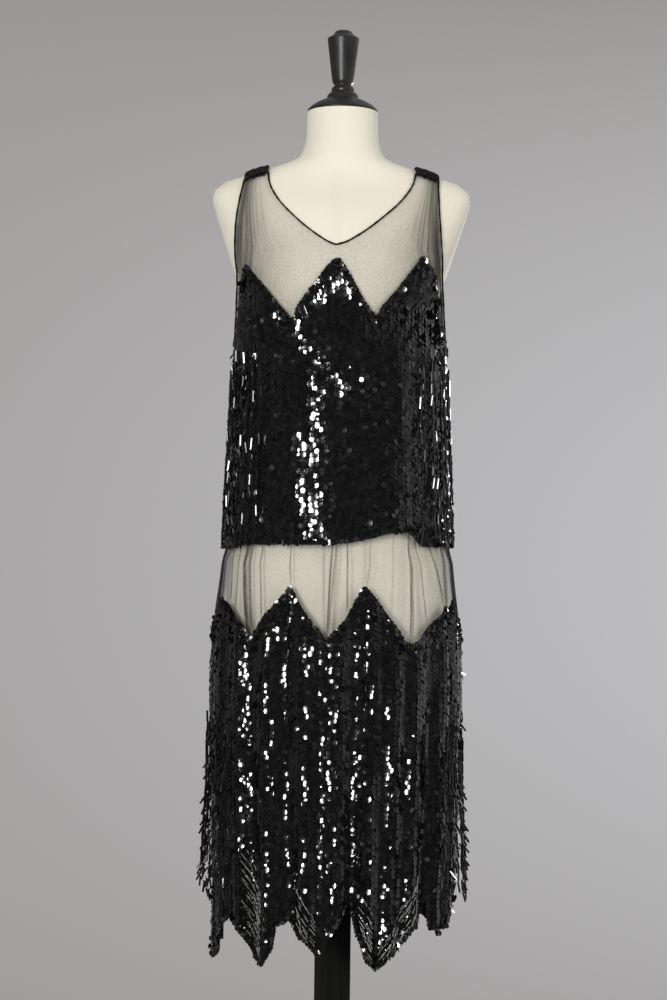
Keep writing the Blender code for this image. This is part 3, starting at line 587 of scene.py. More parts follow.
class Surface:
    """A cloth's inner face round the centre line, kept as a fine table by turn and height."""

    TURN_STEP = 0.5
    HEIGHT_STEP = 0.002
    FINE_TURN = 0.25
    LAST_ROW = 1.001

    def __init__(self, low: float, high: float, level: Callable[[float, Array], Array]) -> None:
        """Fill the table.

        Args:
            low: Lowest height.
            high: Highest height.
            level: Gives the points of one height from an array of turns.
        """
        self.low = low
        turns = np.arange(0.0, 360.0, self.TURN_STEP)
        count = int(math.ceil((high - low) / self.HEIGHT_STEP)) + 1
        self.table = np.stack([level(low + self.HEIGHT_STEP * i, turns) for i in range(count)])
        around = np.roll(self.table, -1, axis=1) - np.roll(self.table, 1, axis=1)
        self.outward = unit(np.cross(around, np.gradient(self.table, axis=0)))

    def _read(self, source: Array, turns: Array, heights: Array) -> Array:
        """Read a table between its rows and columns.

        Args:
            source: Points or normals.
            turns: Turns in degrees.
            heights: Heights, as many as turns.

        Returns:
            One row for each pair.
        """
        column = (np.asarray(turns) % 360.0) / self.TURN_STEP
        row = np.clip((np.asarray(heights) - self.low) / self.HEIGHT_STEP, 0, len(source) - self.LAST_ROW)
        left, below = column.astype(int), row.astype(int)
        s, t = (column - left)[..., None], (row - below)[..., None]
        right, left = (left + 1) % source.shape[1], left % source.shape[1]
        low = source[below, left] * (1 - s) + source[below, right] * s
        high = source[below + 1, left] * (1 - s) + source[below + 1, right] * s
        return low * (1 - t) + high * t

    def normals(self, turns: Array, heights: Array) -> Array:
        """Outward directions of unit length."""
        return unit(self._read(self.outward, turns, heights))

    def points(self, turns: Array, heights: Array, out: float | Array = 0.0) -> Array:
        """Points of the face, or of a face moved out along its normals."""
        outward = np.asarray(out)[..., None] * self.normals(turns, heights)
        return self._read(self.table, turns, heights) + outward

    def even_turns(self, height: float, start: float, stop: float, pitch: float) -> Array:
        """Turns at one height that are a pitch apart along the cloth.

        Args:
            height: The height.
            start: First turn.
            stop: Last turn.
            pitch: Distance in metres.

        Returns:
            The turns.
        """
        fine = np.arange(start, stop + self.FINE_TURN / 2, self.FINE_TURN)
        run = run_along(self.points(fine, np.full_like(fine, height)))
        count = int(run[-1] / pitch)
        return np.interp((np.arange(count) + 0.5) * run[-1] / count, run, fine)


def ripples(turns: Array, height: float, size: float) -> Array:
    """Soft uneven ripples between the main folds: how far each turn is pushed in or out."""
    return size * summed(RIPPLE_WAVES, turns, height) / sum(wave.size for wave in RIPPLE_WAVES)


def bodice_level(height: float, turns: Array) -> Array:
    """One level of the bodice's inner face.

    Args:
        height: Height of the level.
        turns: Turns in degrees.

    Returns:
        One point a turn.
    """
    size = BODICE_RIPPLE * ramp(height, *BODICE_RIPPLED)
    inset = fold_shares(BODICE_FOLDS, turns) * smooth_value(BODICE_FOLD_DEPTH, 1, height)
    return ring_points(bodice_ring(height), turns, ripples(turns, height, size) - inset)


def skirt_level(height: float, turns: Array) -> Array:
    """One level of the skirt's inner face, which hangs inside the bodice above the bodice's hem.

    Args:
        height: Height of the level.
        turns: Turns in degrees.

    Returns:
        One point a turn.
    """
    low, high = ring_at(SKIRT, height), grown(bodice_ring(height), -TUCK_GAP)
    low_inset = fold_shares(SKIRT_FOLDS, turns) * smooth_value(SKIRT_FOLD_DEPTH, 1, height)
    high_inset = fold_shares(BODICE_FOLDS, turns) * smooth_value(BODICE_FOLD_DEPTH, 1, height)
    share = ramp(height, TUCK_FOOT - TUCK_BLEND, TUCK_FOOT)
    inset = low_inset + (high_inset - low_inset) * share
    size = SKIRT_RIPPLE * ramp(height, *SKIRT_RIPPLED)
    ring = Ring(*(a + (b - a) * share for a, b in zip(low, high)))
    return ring_points(ring, turns, ripples(turns, height, size) - inset)


def plain_level(rings: tuple) -> Callable[[float, Array], Array]:
    """Levels of a surface without folds."""
    return lambda height, turns: ring_points(ring_at(rings, height), turns, np.zeros_like(turns))


class Workbench:
    """Short ways to Blender's operators, each on a clean selection."""

    MERGE_WITHIN = 0.000005
    UPWARD_COUNTS = 0.05

    @staticmethod
    def take(piece: Piece) -> None:
        """Select one object alone and make it active.

        Args:
            piece: The object.
        """
        if bpy.context.object and bpy.context.object.mode != "OBJECT":
            bpy.ops.object.mode_set(mode="OBJECT")
        bpy.ops.object.select_all(action="DESELECT")
        piece.select_set(True)
        bpy.context.view_layer.objects.active = piece

    @staticmethod
    def placed(name: str, data: bpy.types.ID) -> Piece:
        """Put an object in the scene.

        Args:
            name: Its name.
            data: Its mesh, camera or light.

        Returns:
            The object.
        """
        piece = bpy.data.objects.new(name, data)
        bpy.context.scene.collection.objects.link(piece)
        return piece

    @staticmethod
    def made(name: str) -> Piece:
        """Name the object that an operator has just added.

        Args:
            name: Its name.

        Returns:
            The object.
        """
        piece = bpy.context.object
        piece.name = name
        piece.data.name = name
        return piece

    @staticmethod
    def pick(piece: Piece, test: Callable[[Vector, Vector], bool], kind: str = "FACE") -> None:
        """Enter edit mode with the faces or vertices that pass a test selected.

        Args:
            piece: The object.
            test: Takes a centre and a normal, and says whether it is taken.
            kind: FACE or VERT.
        """
        Workbench.take(piece)
        bpy.ops.object.mode_set(mode="EDIT")
        bpy.ops.mesh.select_mode(type=kind)
        bpy.ops.mesh.select_all(action="DESELECT")
        bpy.ops.object.mode_set(mode="OBJECT")
        for item in piece.data.polygons if kind == "FACE" else piece.data.vertices:
            item.select = test(item.center if kind == "FACE" else item.co, item.normal)
        bpy.ops.object.mode_set(mode="EDIT")

    @staticmethod
    def settle(piece: Piece) -> None:
        """Leave edit mode, then put the object's place, turn and scale into its mesh."""
        Workbench.take(piece)
        bpy.ops.object.transform_apply(location=True, rotation=True, scale=True)

    @staticmethod
    def outward(piece: Piece, fill: bool = False, sheet: bool = False) -> None:
        """Merge doubles and turn all faces out.

        Args:
            piece: The object.
            fill: Whether open ends are closed.
            sheet: Whether it is an open sheet round the centre line.
        """
        Workbench.pick(piece, lambda co, normal: True)
        bpy.ops.mesh.remove_doubles(threshold=Workbench.MERGE_WITHIN)
        if fill:
            bpy.ops.mesh.fill_holes(sides=0)
            bpy.ops.mesh.select_all(action="SELECT")
        bpy.ops.mesh.normals_make_consistent(inside=False)
        bpy.ops.object.mode_set(mode="OBJECT")
        if sheet:
            faces = piece.data.polygons
            out = [Vector((face.center.x, face.center.y, Workbench.UPWARD_COUNTS)) for face in faces]
            if sum(face.normal.dot(way) for face, way in zip(faces, out)) < 0:
                piece.data.flip_normals()

    @staticmethod
    def apply(piece: Piece, kind: str, **settings: object) -> None:
        """Add a modifier with its settings and apply it.

        Args:
            piece: The object.
            kind: Type of the modifier.
            settings: Its properties.
        """
        Workbench.take(piece)
        modifier = piece.modifiers.new("shaping", kind)
        for name, value in settings.items():
            setattr(modifier, name, value)
        bpy.ops.object.modifier_apply(modifier=modifier.name)

    @staticmethod
    def smooth(piece: Piece, angle: float) -> None:
        """Shade a piece smooth but for edges sharper than an angle in degrees."""
        Workbench.take(piece)
        bpy.ops.object.shade_smooth_by_angle(angle=math.radians(angle))

    @staticmethod
    def grid(name: str, points: Array, flat: Array, closed: bool = False) -> Piece:
        """Quad sheet from a grid of points, with its map.

        Args:
            name: Name of the object.
            points: Rows by columns by 3, rows upward and columns by rising turn.
            flat: Place on the flat pattern in metres, rows by columns by 2.
            closed: Whether the last column meets the first.

        Returns:
            The object.
        """
        index = np.arange(points.shape[0] * points.shape[1]).reshape(points.shape[:2])
        right = np.roll(index, -1, axis=1)
        if not closed:
            index, right = index[:, :-1], right[:, :-1]
        quads = np.stack([index[:-1], right[:-1], right[1:], index[1:]], axis=-1).reshape(-1, 4)
        return Workbench.mesh(name, points.reshape(-1, 3), quads, flat.reshape(-1, 2))

    @staticmethod
    def mesh(name: str, points: Array, faces: Array, flat: Array) -> Piece:
        """Smooth mesh with a map.

        Args:
            name: Name of the object.
            points: One row a vertex.
            faces: Vertex numbers, one row a face.
            flat: Place on the flat pattern, one row a vertex.

        Returns:
            The object.
        """
        mesh = bpy.data.meshes.new(name)
        mesh.from_pydata(points.tolist(), [], faces.tolist())
        mesh.shade_smooth()
        layer = mesh.uv_layers.new(name="cut")
        layer.data.foreach_set("uv", flat[faces.ravel()].astype(np.float32).ravel())
        return Workbench.placed(name, mesh)

    @staticmethod
    def spin(name: str, profile: Sequence[tuple[float, float]], steps: int) -> Piece:
        """Turned piece from its profile.

        Args:
            name: Name of the object.
            profile: (radius, height) from the top to the foot, on the axis at both ends.
            steps: Number of sides.

        Returns:
            The object.
        """
        mesh = bpy.data.meshes.new(name)
        points = [(radius, 0.0, height) for radius, height in profile]
        mesh.from_pydata(points, [(i, i + 1) for i in range(len(points) - 1)], [])
        piece = Workbench.placed(name, mesh)
        Workbench.take(piece)
        bpy.ops.object.mode_set(mode="EDIT")
        bpy.ops.mesh.select_all(action="SELECT")
        bpy.ops.mesh.spin(steps=steps, angle=math.tau, center=(0, 0, 0), axis=(0, 0, 1))
        Workbench.outward(piece)
        return piece

    @staticmethod
    def seat(piece: Piece, material: Material, slot: Slot, *nodes: str) -> Piece:
        """Dress a piece and let it ride on the part, and stand for nodes.

        Args:
            piece: The finished piece.
            material: Its finish.
            slot: The record's slot; not used.
            nodes: Nodes that it replaces.

        Returns:
            The piece.
        """
        if not piece.data.materials:
            piece.data.materials.append(material)
        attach(piece, "root")
        if nodes:
            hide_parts(*nodes)
        LOG.info("%s: %d faces", piece.name, len(piece.data.polygons))
        return piece


class NodePen:
    """Adds and links shader nodes in one tree."""

    def __init__(self, tree: Tree) -> None:
        """Keep the tree."""
        self.tree = tree

    def add(self, kind: str, inputs: dict | None = None, **settings: object) -> bpy.types.Node:
        """Add a node.

        Args:
            kind: Its type without the ShaderNode prefix.
            inputs: Values or output sockets by input name or number.
            settings: Properties of the node.

        Returns:
            The node.
        """
        node = self.tree.nodes.new("ShaderNode" + kind)
        for name, value in settings.items():
            setattr(node, name, value)
        for name, value in (inputs or {}).items():
            self.put(node.inputs[name], value)
        return node

    def put(self, socket: Socket, value: object) -> None:
        """Link an output to a socket, or set its value.

        Args:
            socket: The input.
            value: A value or an output.
        """
        if isinstance(value, Socket):
            self.tree.links.new(value, socket)
        else:
            socket.default_value = value

    def maths(self, operation: str, *values: object, clamp: bool = False) -> Socket:
        """Result of a Math node."""
        return self.add("Math", dict(enumerate(values)), operation=operation, use_clamp=clamp).outputs[0]

    def remap(self, value: object, *limits: float) -> Socket:
        """Map a value between four limits, from low and high to low and high, clamped."""
        names = ("From Min", "From Max", "To Min", "To Max")
        return self.add("MapRange", {"Value": value, **dict(zip(names, limits))}).outputs["Result"]

    def blend(self, share: object, first: object, second: object) -> Socket:
        """Mix two colours.

        Args:
            share: Share of the second.
            first: A colour.
            second: A colour.

        Returns:
            The mixed colour.
        """
        node = self.add("Mix", data_type="RGBA")
        for name, value in (("Factor", share), ("A", first), ("B", second)):
            self.put(node.inputs[name], value)
        return node.outputs["Result"]

    def group(self, tree: Tree, **inputs: object) -> dict:
        """Put a group in the tree.

        Args:
            tree: The group.
            inputs: Values or outputs by input name.

        Returns:
            The group's outputs.
        """
        node = self.add("Group")
        node.node_tree = tree
        for name, value in inputs.items():
            self.put(node.inputs[name], value)
        return node.outputs


class SharedEffects:
    """Shader node groups that more than one finish uses."""

    NOISE_SPAN = (0.3, 0.7, 0.0, 1.0)
    THREAD_SPAN = (0.45, 1.0, 0.0, 1.0)

    def __init__(self) -> None:
        """Build each group once."""
        self.mottle = self._mottle()
        self.weave = self._weave()

    @staticmethod
    def _start(name: str, values: dict[str, float], outputs: Sequence[str]) -> tuple:
        """Start a group that takes a vector and values.

        Args:
            name: Name of the group.
            values: Start value of each value input.
            outputs: Names of its outputs.

        Returns:
            The tree, its pen, its inputs and its outputs.
        """
        tree = bpy.data.node_groups.new(name, "ShaderNodeTree")
        tree.interface.new_socket("Vector", in_out="INPUT", socket_type="NodeSocketVector")
        for label, start in values.items():
            socket = tree.interface.new_socket(label, in_out="INPUT", socket_type="NodeSocketFloat")
            socket.default_value = start
        for label in outputs:
            tree.interface.new_socket(label, in_out="OUTPUT", socket_type="NodeSocketFloat")
        entry = tree.nodes.new("NodeGroupInput").outputs
        leave = tree.nodes.new("NodeGroupOutput").inputs
        return tree, NodePen(tree), entry, leave

    def _mottle(self) -> Tree:
        """Uneven tone in two sizes of noise, for handled, worn and dyed surfaces.

        Returns:
            The group.
        """
        sizes = {"Coarse": 8.0, "Fine": 300.0}
        tree, pen, entry, leave = self._start("uneven_tone", sizes, ("Tone", "Grain"))
        for scale, output in (("Coarse", "Tone"), ("Fine", "Grain")):
            noise = pen.add("TexNoise", {"Vector": entry["Vector"], "Scale": entry[scale], "Detail": 3.0})
            pen.put(leave[output], pen.remap(noise.outputs[0], *self.NOISE_SPAN))
        return tree

    def _weave(self) -> Tree:
        """Crossed threads: 1 on a thread and 0 in a hole, from a flat pattern in metres.

        Returns:
            The group.
        """
        tree, pen, entry, leave = self._start("crossed_threads", {"Pitch": 0.0012}, ("Threads",))
        parts = pen.add("SeparateXYZ", {"Vector": entry["Vector"]}).outputs
        turn_per_metre = pen.maths("DIVIDE", math.tau, entry["Pitch"])
        crossed = []
        for sign in (1.0, -1.0):
            slanted = pen.maths("MULTIPLY_ADD", parts["X"], sign, parts["Y"])
            wave = pen.maths("SINE", pen.maths("MULTIPLY", slanted, turn_per_metre))
            crossed.append(pen.remap(wave, *self.THREAD_SPAN))
        pen.put(leave["Threads"], pen.maths("MAXIMUM", *crossed))
        return tree


def start_material(name: str, colour: tuple, sockets: dict[str, float]) -> tuple:
    """Start a material with a Principled shader.

    Args:
        name: Name of the material.
        colour: Base colour, linear.
        sockets: Values of the shader's own sockets.

    Returns:
        The material, its pen and its Principled node's inputs.
    """
    material = bpy.data.materials.new(name)
    material.use_nodes = True
    material.diffuse_color = (*colour, 1.0)
    inputs = material.node_tree.nodes["Principled BSDF"].inputs
    inputs["Base Color"].default_value = (*colour, 1.0)
    for label, value in sockets.items():
        inputs[label].default_value = value
    return material, NodePen(material.node_tree), inputs


@dataclass(frozen=True)
class WornFinish:
    """A surface whose tone, polish and relief vary a little, with threads where it is woven."""

    name: str
    dark: tuple
    light: tuple
    rough: tuple
    coarse: float
    fine: float
    relief: float
    drawn: float = 1.0
    pitch: float = 0.0
    sockets: tuple = ()
    grain_share: float = 0.4
    strength: float = 0.5

    def build(self, effects: SharedEffects) -> Material:
        """Make the material from the object's own coordinates, or from its map where it is woven.

        Args:
            effects: The shared groups.

        Returns:
            The material.
        """
        material, pen, inputs = start_material(self.name, self.light, dict(self.sockets))
        body = pen.add("TexCoord").outputs["Object"]
        place = pen.add("Mapping", {"Vector": body, "Scale": (1.0, 1.0, self.drawn)}).outputs[0]
        tone = pen.group(effects.mottle, Vector=place, Coarse=self.coarse, Fine=self.fine)
        pen.put(inputs["Base Color"], pen.blend(tone["Tone"], (*self.dark, 1.0), (*self.light, 1.0)))
        pen.put(inputs["Roughness"], pen.remap(tone["Tone"], 0.0, 1.0, *self.rough))
        height = tone["Grain"]
        if self.pitch:
            cut = pen.add("UVMap", uv_map="cut").outputs["UV"]
            threads = pen.group(effects.weave, Vector=cut, Pitch=self.pitch)["Threads"]
            height = pen.maths("MULTIPLY_ADD", height, self.grain_share, threads)
        bump = pen.add("Bump", {"Strength": self.strength, "Distance": self.relief, "Height": height})
        pen.put(inputs["Normal"], bump.outputs[0])
        return material


@dataclass(frozen=True)
class NetFinish:
    """Fine black cotton net, sheer, thicker where it gathers, with painted shade darkening its colour there.
    """

    colour: tuple = (0.038, 0.034, 0.025)
    # Colour of the net in deep gathers: painted shade, darker than the net's own colour.
    gathered: tuple = (0.018, 0.016, 0.012)
    hole: float = 0.002
    thread: float = 0.088
    cloud: float = 0.016
    grain: float = 0.081
    pitch: float = 0.0017
    coarse: float = 26.0
    fine: float = 330.0
    drawn: tuple = (900.0, 16.0, 1.0)
    pull: tuple = (0.35, 0.65, 0.70, 1.35)
    streaks: tuple = (0.60, 0.80, 0.0, 0.05)
    crease_shade_share: tuple = (0.05, 0.28, 0.0, 1.0)

    def build(self, effects: SharedEffects) -> Material:
        """Make the material, whose see-through pattern reads the piece's own map and gather attribute.

        Args:
            effects: The shared groups.

        Returns:
            The material.
        """
        sockets = {"Roughness": 0.85, "Specular IOR Level": 0.1}
        material, pen, inputs = start_material("sheer_net", self.colour, sockets)
        cut = pen.add("UVMap", uv_map="cut").outputs["UV"]
        threads = pen.group(effects.weave, Vector=cut, Pitch=self.pitch)["Threads"]
        tone = pen.group(effects.mottle, Vector=cut, Coarse=self.coarse, Fine=self.fine)
        gather = pen.add("Attribute", attribute_name="gather").outputs["Fac"]
        drawn = pen.add("Mapping", {"Vector": cut, "Scale": self.drawn}).outputs[0]
        streak = pen.add("TexNoise", {"Vector": drawn, "Scale": 1.0, "Detail": 2.0}).outputs[0]
        pulled = pen.maths("MULTIPLY", gather, pen.remap(streak, *self.pull))
        veil = pen.maths("MULTIPLY_ADD", threads, self.thread, self.hole)
        veil = pen.maths("MULTIPLY_ADD", tone["Tone"], self.cloud, veil)
        veil = pen.maths("MULTIPLY_ADD", tone["Grain"], self.grain, veil)
        veil = pen.maths("ADD", veil, pen.remap(streak, *self.streaks))
        pen.put(inputs["Alpha"], pen.maths("ADD", veil, pulled, clamp=True))
        # The gather attribute also blends in the darker colour: painted shade in the gathers.
        crease_shade_share = pen.remap(gather, *self.crease_shade_share)
        pen.put(inputs["Base Color"], pen.blend(crease_shade_share, (*self.colour, 1.0), (*self.gathered, 1.0)))
        return material


@dataclass(frozen=True)
class SequinFinish:
    """Small cupped discs of black gelatine, glossy, each with its own polish and a stitched hole."""

    colour: tuple = (0.0045, 0.0045, 0.005)
    worn: tuple = (0.010, 0.0095, 0.009, 1.0)
    pierced: tuple = (0.001, 0.001, 0.001, 1.0)
    smoothest: float = 0.04
    roughest: float = 0.12
    hole: tuple = (0.20, 0.27, 1.0, 0.0)
    rim: tuple = (0.80, 1.0, 0.0, 1.0)
    rim_rough: float = 0.10
    hole_rough: float = 0.12

    def build(self) -> Material:
        """Make the material, whose polish reads each disc's own attribute.

        Returns:
            The material.
        """
        material, pen, inputs = start_material("black_sequins", self.colour, {"IOR": 1.85})
        own = pen.add("Attribute", attribute_name="own").outputs["Fac"]
        place = pen.add("UVMap", uv_map="disc").outputs["UV"]
        radius = pen.add("VectorMath", {0: place}, operation="LENGTH").outputs["Value"]
        hole = pen.remap(radius, *self.hole)
        polish = pen.remap(own, 0.0, 1.0, self.smoothest, self.roughest)
        polish = pen.maths("MULTIPLY_ADD", pen.remap(radius, *self.rim), self.rim_rough, polish)
        pen.put(inputs["Roughness"], pen.maths("MULTIPLY_ADD", hole, self.hole_rough, polish))
        tinted = pen.blend(own, (*self.colour, 1.0), self.worn)
        pen.put(inputs["Base Color"], pen.blend(hole, tinted, self.pierced))
        return material


@dataclass(frozen=True)
class BeadFinish:
    """Glass beads, cut and polished."""

    name: str = "jet_glass"
    dark: tuple = (0.0030, 0.0030, 0.0033)
    light: tuple = (0.0070, 0.0065, 0.0060)
    smoothest: float = 0.05
    roughest: float = 0.20
    coarse: float = 240.0
    fine: float = 1600.0
    grain: float = 0.06

    def build(self, effects: SharedEffects) -> Material:
        """Make the material.

        Args:
            effects: The shared groups.

        Returns:
            The material.
        """
        material, pen, inputs = start_material(self.name, self.light, {"IOR": 1.75})
        own = pen.add("Attribute", attribute_name="own").outputs["Fac"]
        body = pen.add("TexCoord").outputs["Object"]
        tone = pen.group(effects.mottle, Vector=body, Coarse=self.coarse, Fine=self.fine)
        polish = pen.remap(own, 0.0, 1.0, self.smoothest, self.roughest)
        pen.put(inputs["Roughness"], pen.maths("MULTIPLY_ADD", tone["Grain"], self.grain, polish))
        pen.put(inputs["Base Color"], pen.blend(tone["Tone"], (*self.dark, 1.0), (*self.light, 1.0)))
        return material


LINED_GLASS = BeadFinish("lined_glass", (0.15, 0.15, 0.147), (0.40, 0.40, 0.385), 0.22, 0.42)
VELVET = WornFinish(
    "black_velvet", (0.0015, 0.0015, 0.0015), (0.007, 0.0065, 0.006), (0.92, 0.98), 160.0, 2400.0, 0.0009,
    sockets=(("Specular IOR Level", 0.05), ("Sheen Weight", 0.08), ("Sheen Roughness", 0.4)),
)
BACKING = WornFinish(
    "sewn_net", (0.002, 0.002, 0.002), (0.006, 0.0055, 0.005), (0.90, 0.96), 30.0, 900.0, 0.0004,
    pitch=0.0022, sockets=(("Specular IOR Level", 0.08),),
)
PIPING = WornFinish(
    "rolled_net_edge", (0.003, 0.003, 0.003), (0.010, 0.009, 0.008), (0.75, 0.88), 120.0, 1800.0, 0.0004,
    pitch=0.0024, sockets=(("Specular IOR Level", 0.15),),
)
COVER = WornFinish(
    "cream_cover", (0.78, 0.725, 0.598), (0.815, 0.772, 0.660), (0.84, 0.92), 7.0, 900.0, 0.00012,
    pitch=0.0011, sockets=(("Specular IOR Level", 0.2), ("Sheen Weight", 0.1)),
)
LACQUER = WornFinish(
    "black_lacquer", (0.0022, 0.0019, 0.0017), (0.005, 0.0045, 0.004), (0.28, 0.38), 60.0, 700.0, 0.00012,
    drawn=0.06, sockets=(("Specular IOR Level", 0.28),),
)
TURNED = WornFinish(
    "turned_lacquer", (0.016, 0.015, 0.0145), (0.030, 0.028, 0.027), (0.30, 0.44), 60.0, 700.0, 0.00012,
    drawn=0.3, sockets=(("Specular IOR Level", 0.6),),
)
PAINT = WornFinish(
    "black_paint", (0.008, 0.008, 0.008), (0.018, 0.017, 0.016), (0.38, 0.54), 16.0, 1400.0, 0.00012,
)


class Finishes:
    """All of the dress's and the form's materials, each built once."""

    def __init__(self) -> None:
        """Build the shared groups and then the materials."""
        effects = SharedEffects()
        self.net = NetFinish().build(effects)
        self.sequins = SequinFinish().build()
        self.beads = BeadFinish().build(effects)
        self.lined_bugles = LINED_GLASS.build(effects)
        self.backing = BACKING.build(effects)
        self.piping = PIPING.build(effects)
        self.velvet = VELVET.build(effects)
        self.cover = COVER.build(effects)
        self.lacquer = LACQUER.build(effects)
        self.turned = TURNED.build(effects)
        self.paint = PAINT.build(effects)


class BugleSet(NamedTuple):
    """Short slanting bugles under the zigzag: how many, how they step along it and down, lean and fall."""

    count: int
    in_row: int
    first: float
    step: float
    clear: float
    row_drop: float
    lean: float
    fall: float
    out: float
    length: float


class Trim(NamedTuple):
    """One small shape that is repeated: its points, its faces and whether it is shaded smooth."""

    points: Array
    faces: list[tuple[int, ...]]
    smooth: bool


class TrimBox:
    """The small shapes sewn on the net, each modelled once at its real size."""

    SEQUIN_RADIUS = 0.0039
    BUGLE_LENGTH = 0.0135
    BUGLE_RADIUS = 0.0014
    SEED_RADIUS = 0.0015
    CUP_DEPTH = 0.00035
    FLAT_DEPTH = 0.00020
    HOLE_RIM = 0.45
    HOLE_DEPTH = 0.5
    SEED_HEIGHT = 0.75
    END_NORMAL = 0.9

    def __init__(self) -> None:
        """Model the shapes."""
        self.cup = self._sequin(self.CUP_DEPTH)
        self.flat = self._sequin(self.FLAT_DEPTH)
        self.bugle = self._bugle()
        self.seed = self._seed()

    @staticmethod
    def _keep(piece: Piece, smooth: bool) -> Trim:
        """Read a modelled shape and remove its object.

        Args:
            piece: Its object.
            smooth: Whether it is shaded smooth.

        Returns:
            The shape.
        """
        Workbench.settle(piece)
        points = np.array([vert.co for vert in piece.data.vertices], float)
        faces = [tuple(face.vertices) for face in piece.data.polygons]
        bpy.data.objects.remove(piece)
        return Trim(points, faces, smooth)

    def _sequin(self, cup: float) -> Trim:
        """A disc of eight sides with its middle pushed in, facing +Z.

        Args:
            cup: How deep the middle lies.

        Returns:
            The shape.
        """
        bpy.ops.mesh.primitive_circle_add(vertices=8, radius=self.SEQUIN_RADIUS, fill_type="TRIFAN")
        piece = Workbench.made("sequin")
        Workbench.pick(piece, lambda co, normal: co.length < self.SEQUIN_RADIUS / 2, "VERT")
        bpy.ops.transform.translate(value=(0, 0, -cup))
        return self._keep(piece, True)

    def _bugle(self) -> Trim:
        """A six sided tube bead along Z, with its hole sunk in at both ends.

        Returns:
            The shape.
        """
        bpy.ops.mesh.primitive_cylinder_add(vertices=6, radius=self.BUGLE_RADIUS, depth=self.BUGLE_LENGTH)
        piece = Workbench.made("bugle")
        for side in (1.0, -1.0):
            Workbench.pick(piece, lambda co, normal: normal.z * side > self.END_NORMAL)
            rim, depth = self.BUGLE_RADIUS * self.HOLE_RIM, self.BUGLE_RADIUS * self.HOLE_DEPTH
            bpy.ops.mesh.inset(thickness=rim, depth=-depth)
        return self._keep(piece, False)

    def _seed(self) -> Trim:
        """A small round bead, flattened along its hole.

        Returns:
            The shape.
        """
        bpy.ops.mesh.primitive_uv_sphere_add(segments=6, ring_count=4, radius=self.SEED_RADIUS)
        piece = Workbench.made("seed")
        Workbench.pick(piece, lambda co, normal: True, "VERT")
        bpy.ops.transform.resize(value=(1.0, 1.0, self.SEED_HEIGHT))
        return self._keep(piece, True)


def turned(rows: Array, axes: Array, degrees: Array) -> Array:
    """Rows, each turned about its own unit axis.

    Args:
        rows: Directions.
        axes: One unit axis a row.
        degrees: How far each row is turned.

    Returns:
        The turned rows.
    """
    c, s = np.cos(np.radians(degrees))[:, None], np.sin(np.radians(degrees))[:, None]
    along = np.sum(rows * axes, axis=-1, keepdims=True)
    return rows * c + np.cross(axes, rows) * s + axes * along * (1 - c)


def along_axes(directions: Array, normals: Array, spin: Array | float = 0.0) -> Array:
    """Directions of beads that are threaded along their own Z.

    Args:
        directions: Where the thread runs at each bead.
        normals: Outward directions of the cloth.
        spin: Degrees about the thread.

    Returns:
        Three rows a bead: where its X, Y and Z point.
    """
    z = unit(directions)
    x = turned(unit(np.cross(normals, z)), z, np.broadcast_to(spin, len(z)))
    return np.stack([x, np.cross(z, x), z], axis=1)


@dataclass(frozen=True)
class Unrest:
    """How unevenly sequins lie, in degrees.

    The foot has a mean lift. Neighbours share some of the unrest, and some each sequin has alone. A share
    of them are strays. Swing and tip add a sideways turn and a lift by height. Calm is a turn near which
    what each has alone stays as it is, and away from which it grows.
    """

    lift: float = 7.0
    shared: float = 5.0
    alone: float = 5.0
    strays: float = 0.08
    swing: tuple = ()
    tip: tuple = ()
    calm: float | None = None
    calm_reach: tuple = (18.0, 42.0)
    restless: float = 0.9
    stray_angle: float = 16.0
    lift_share: float = 0.6
    wave_phases: tuple = (0.0, 2.1)
    wave_scale: float = 1.9

    def angles(self, turns: Array, heights: Array, random: np.random.Generator) -> tuple:
        """Lift of the foot and sideways turn of each sequin.

        Args:
            turns: Turns in degrees.
            heights: Heights.
            random: Source of chance.

        Returns:
            Lifts and turns in degrees.
        """
        waves = [
            self.shared * summed(SEQUIN_WAVES, turns, heights, phase) / self.wave_scale
            for phase in self.wave_phases
        ]
        alone = random.normal(0, self.alone, (2, len(turns)))
        if self.calm is not None:
            alone *= 1 + self.restless * ramp(np.abs(turns - self.calm), *self.calm_reach)
        alone += random.normal(0, self.stray_angle, alone.shape) * (random.random(len(turns)) < self.strays)
        swung = smooth_values(self.swing, heights) if self.swing else 0.0
        tipped = smooth_values(self.tip, heights) if self.tip else 0.0
        return self.lift + tipped + self.lift_share * waves[0] + alone[0], waves[1] + alone[1] + swung


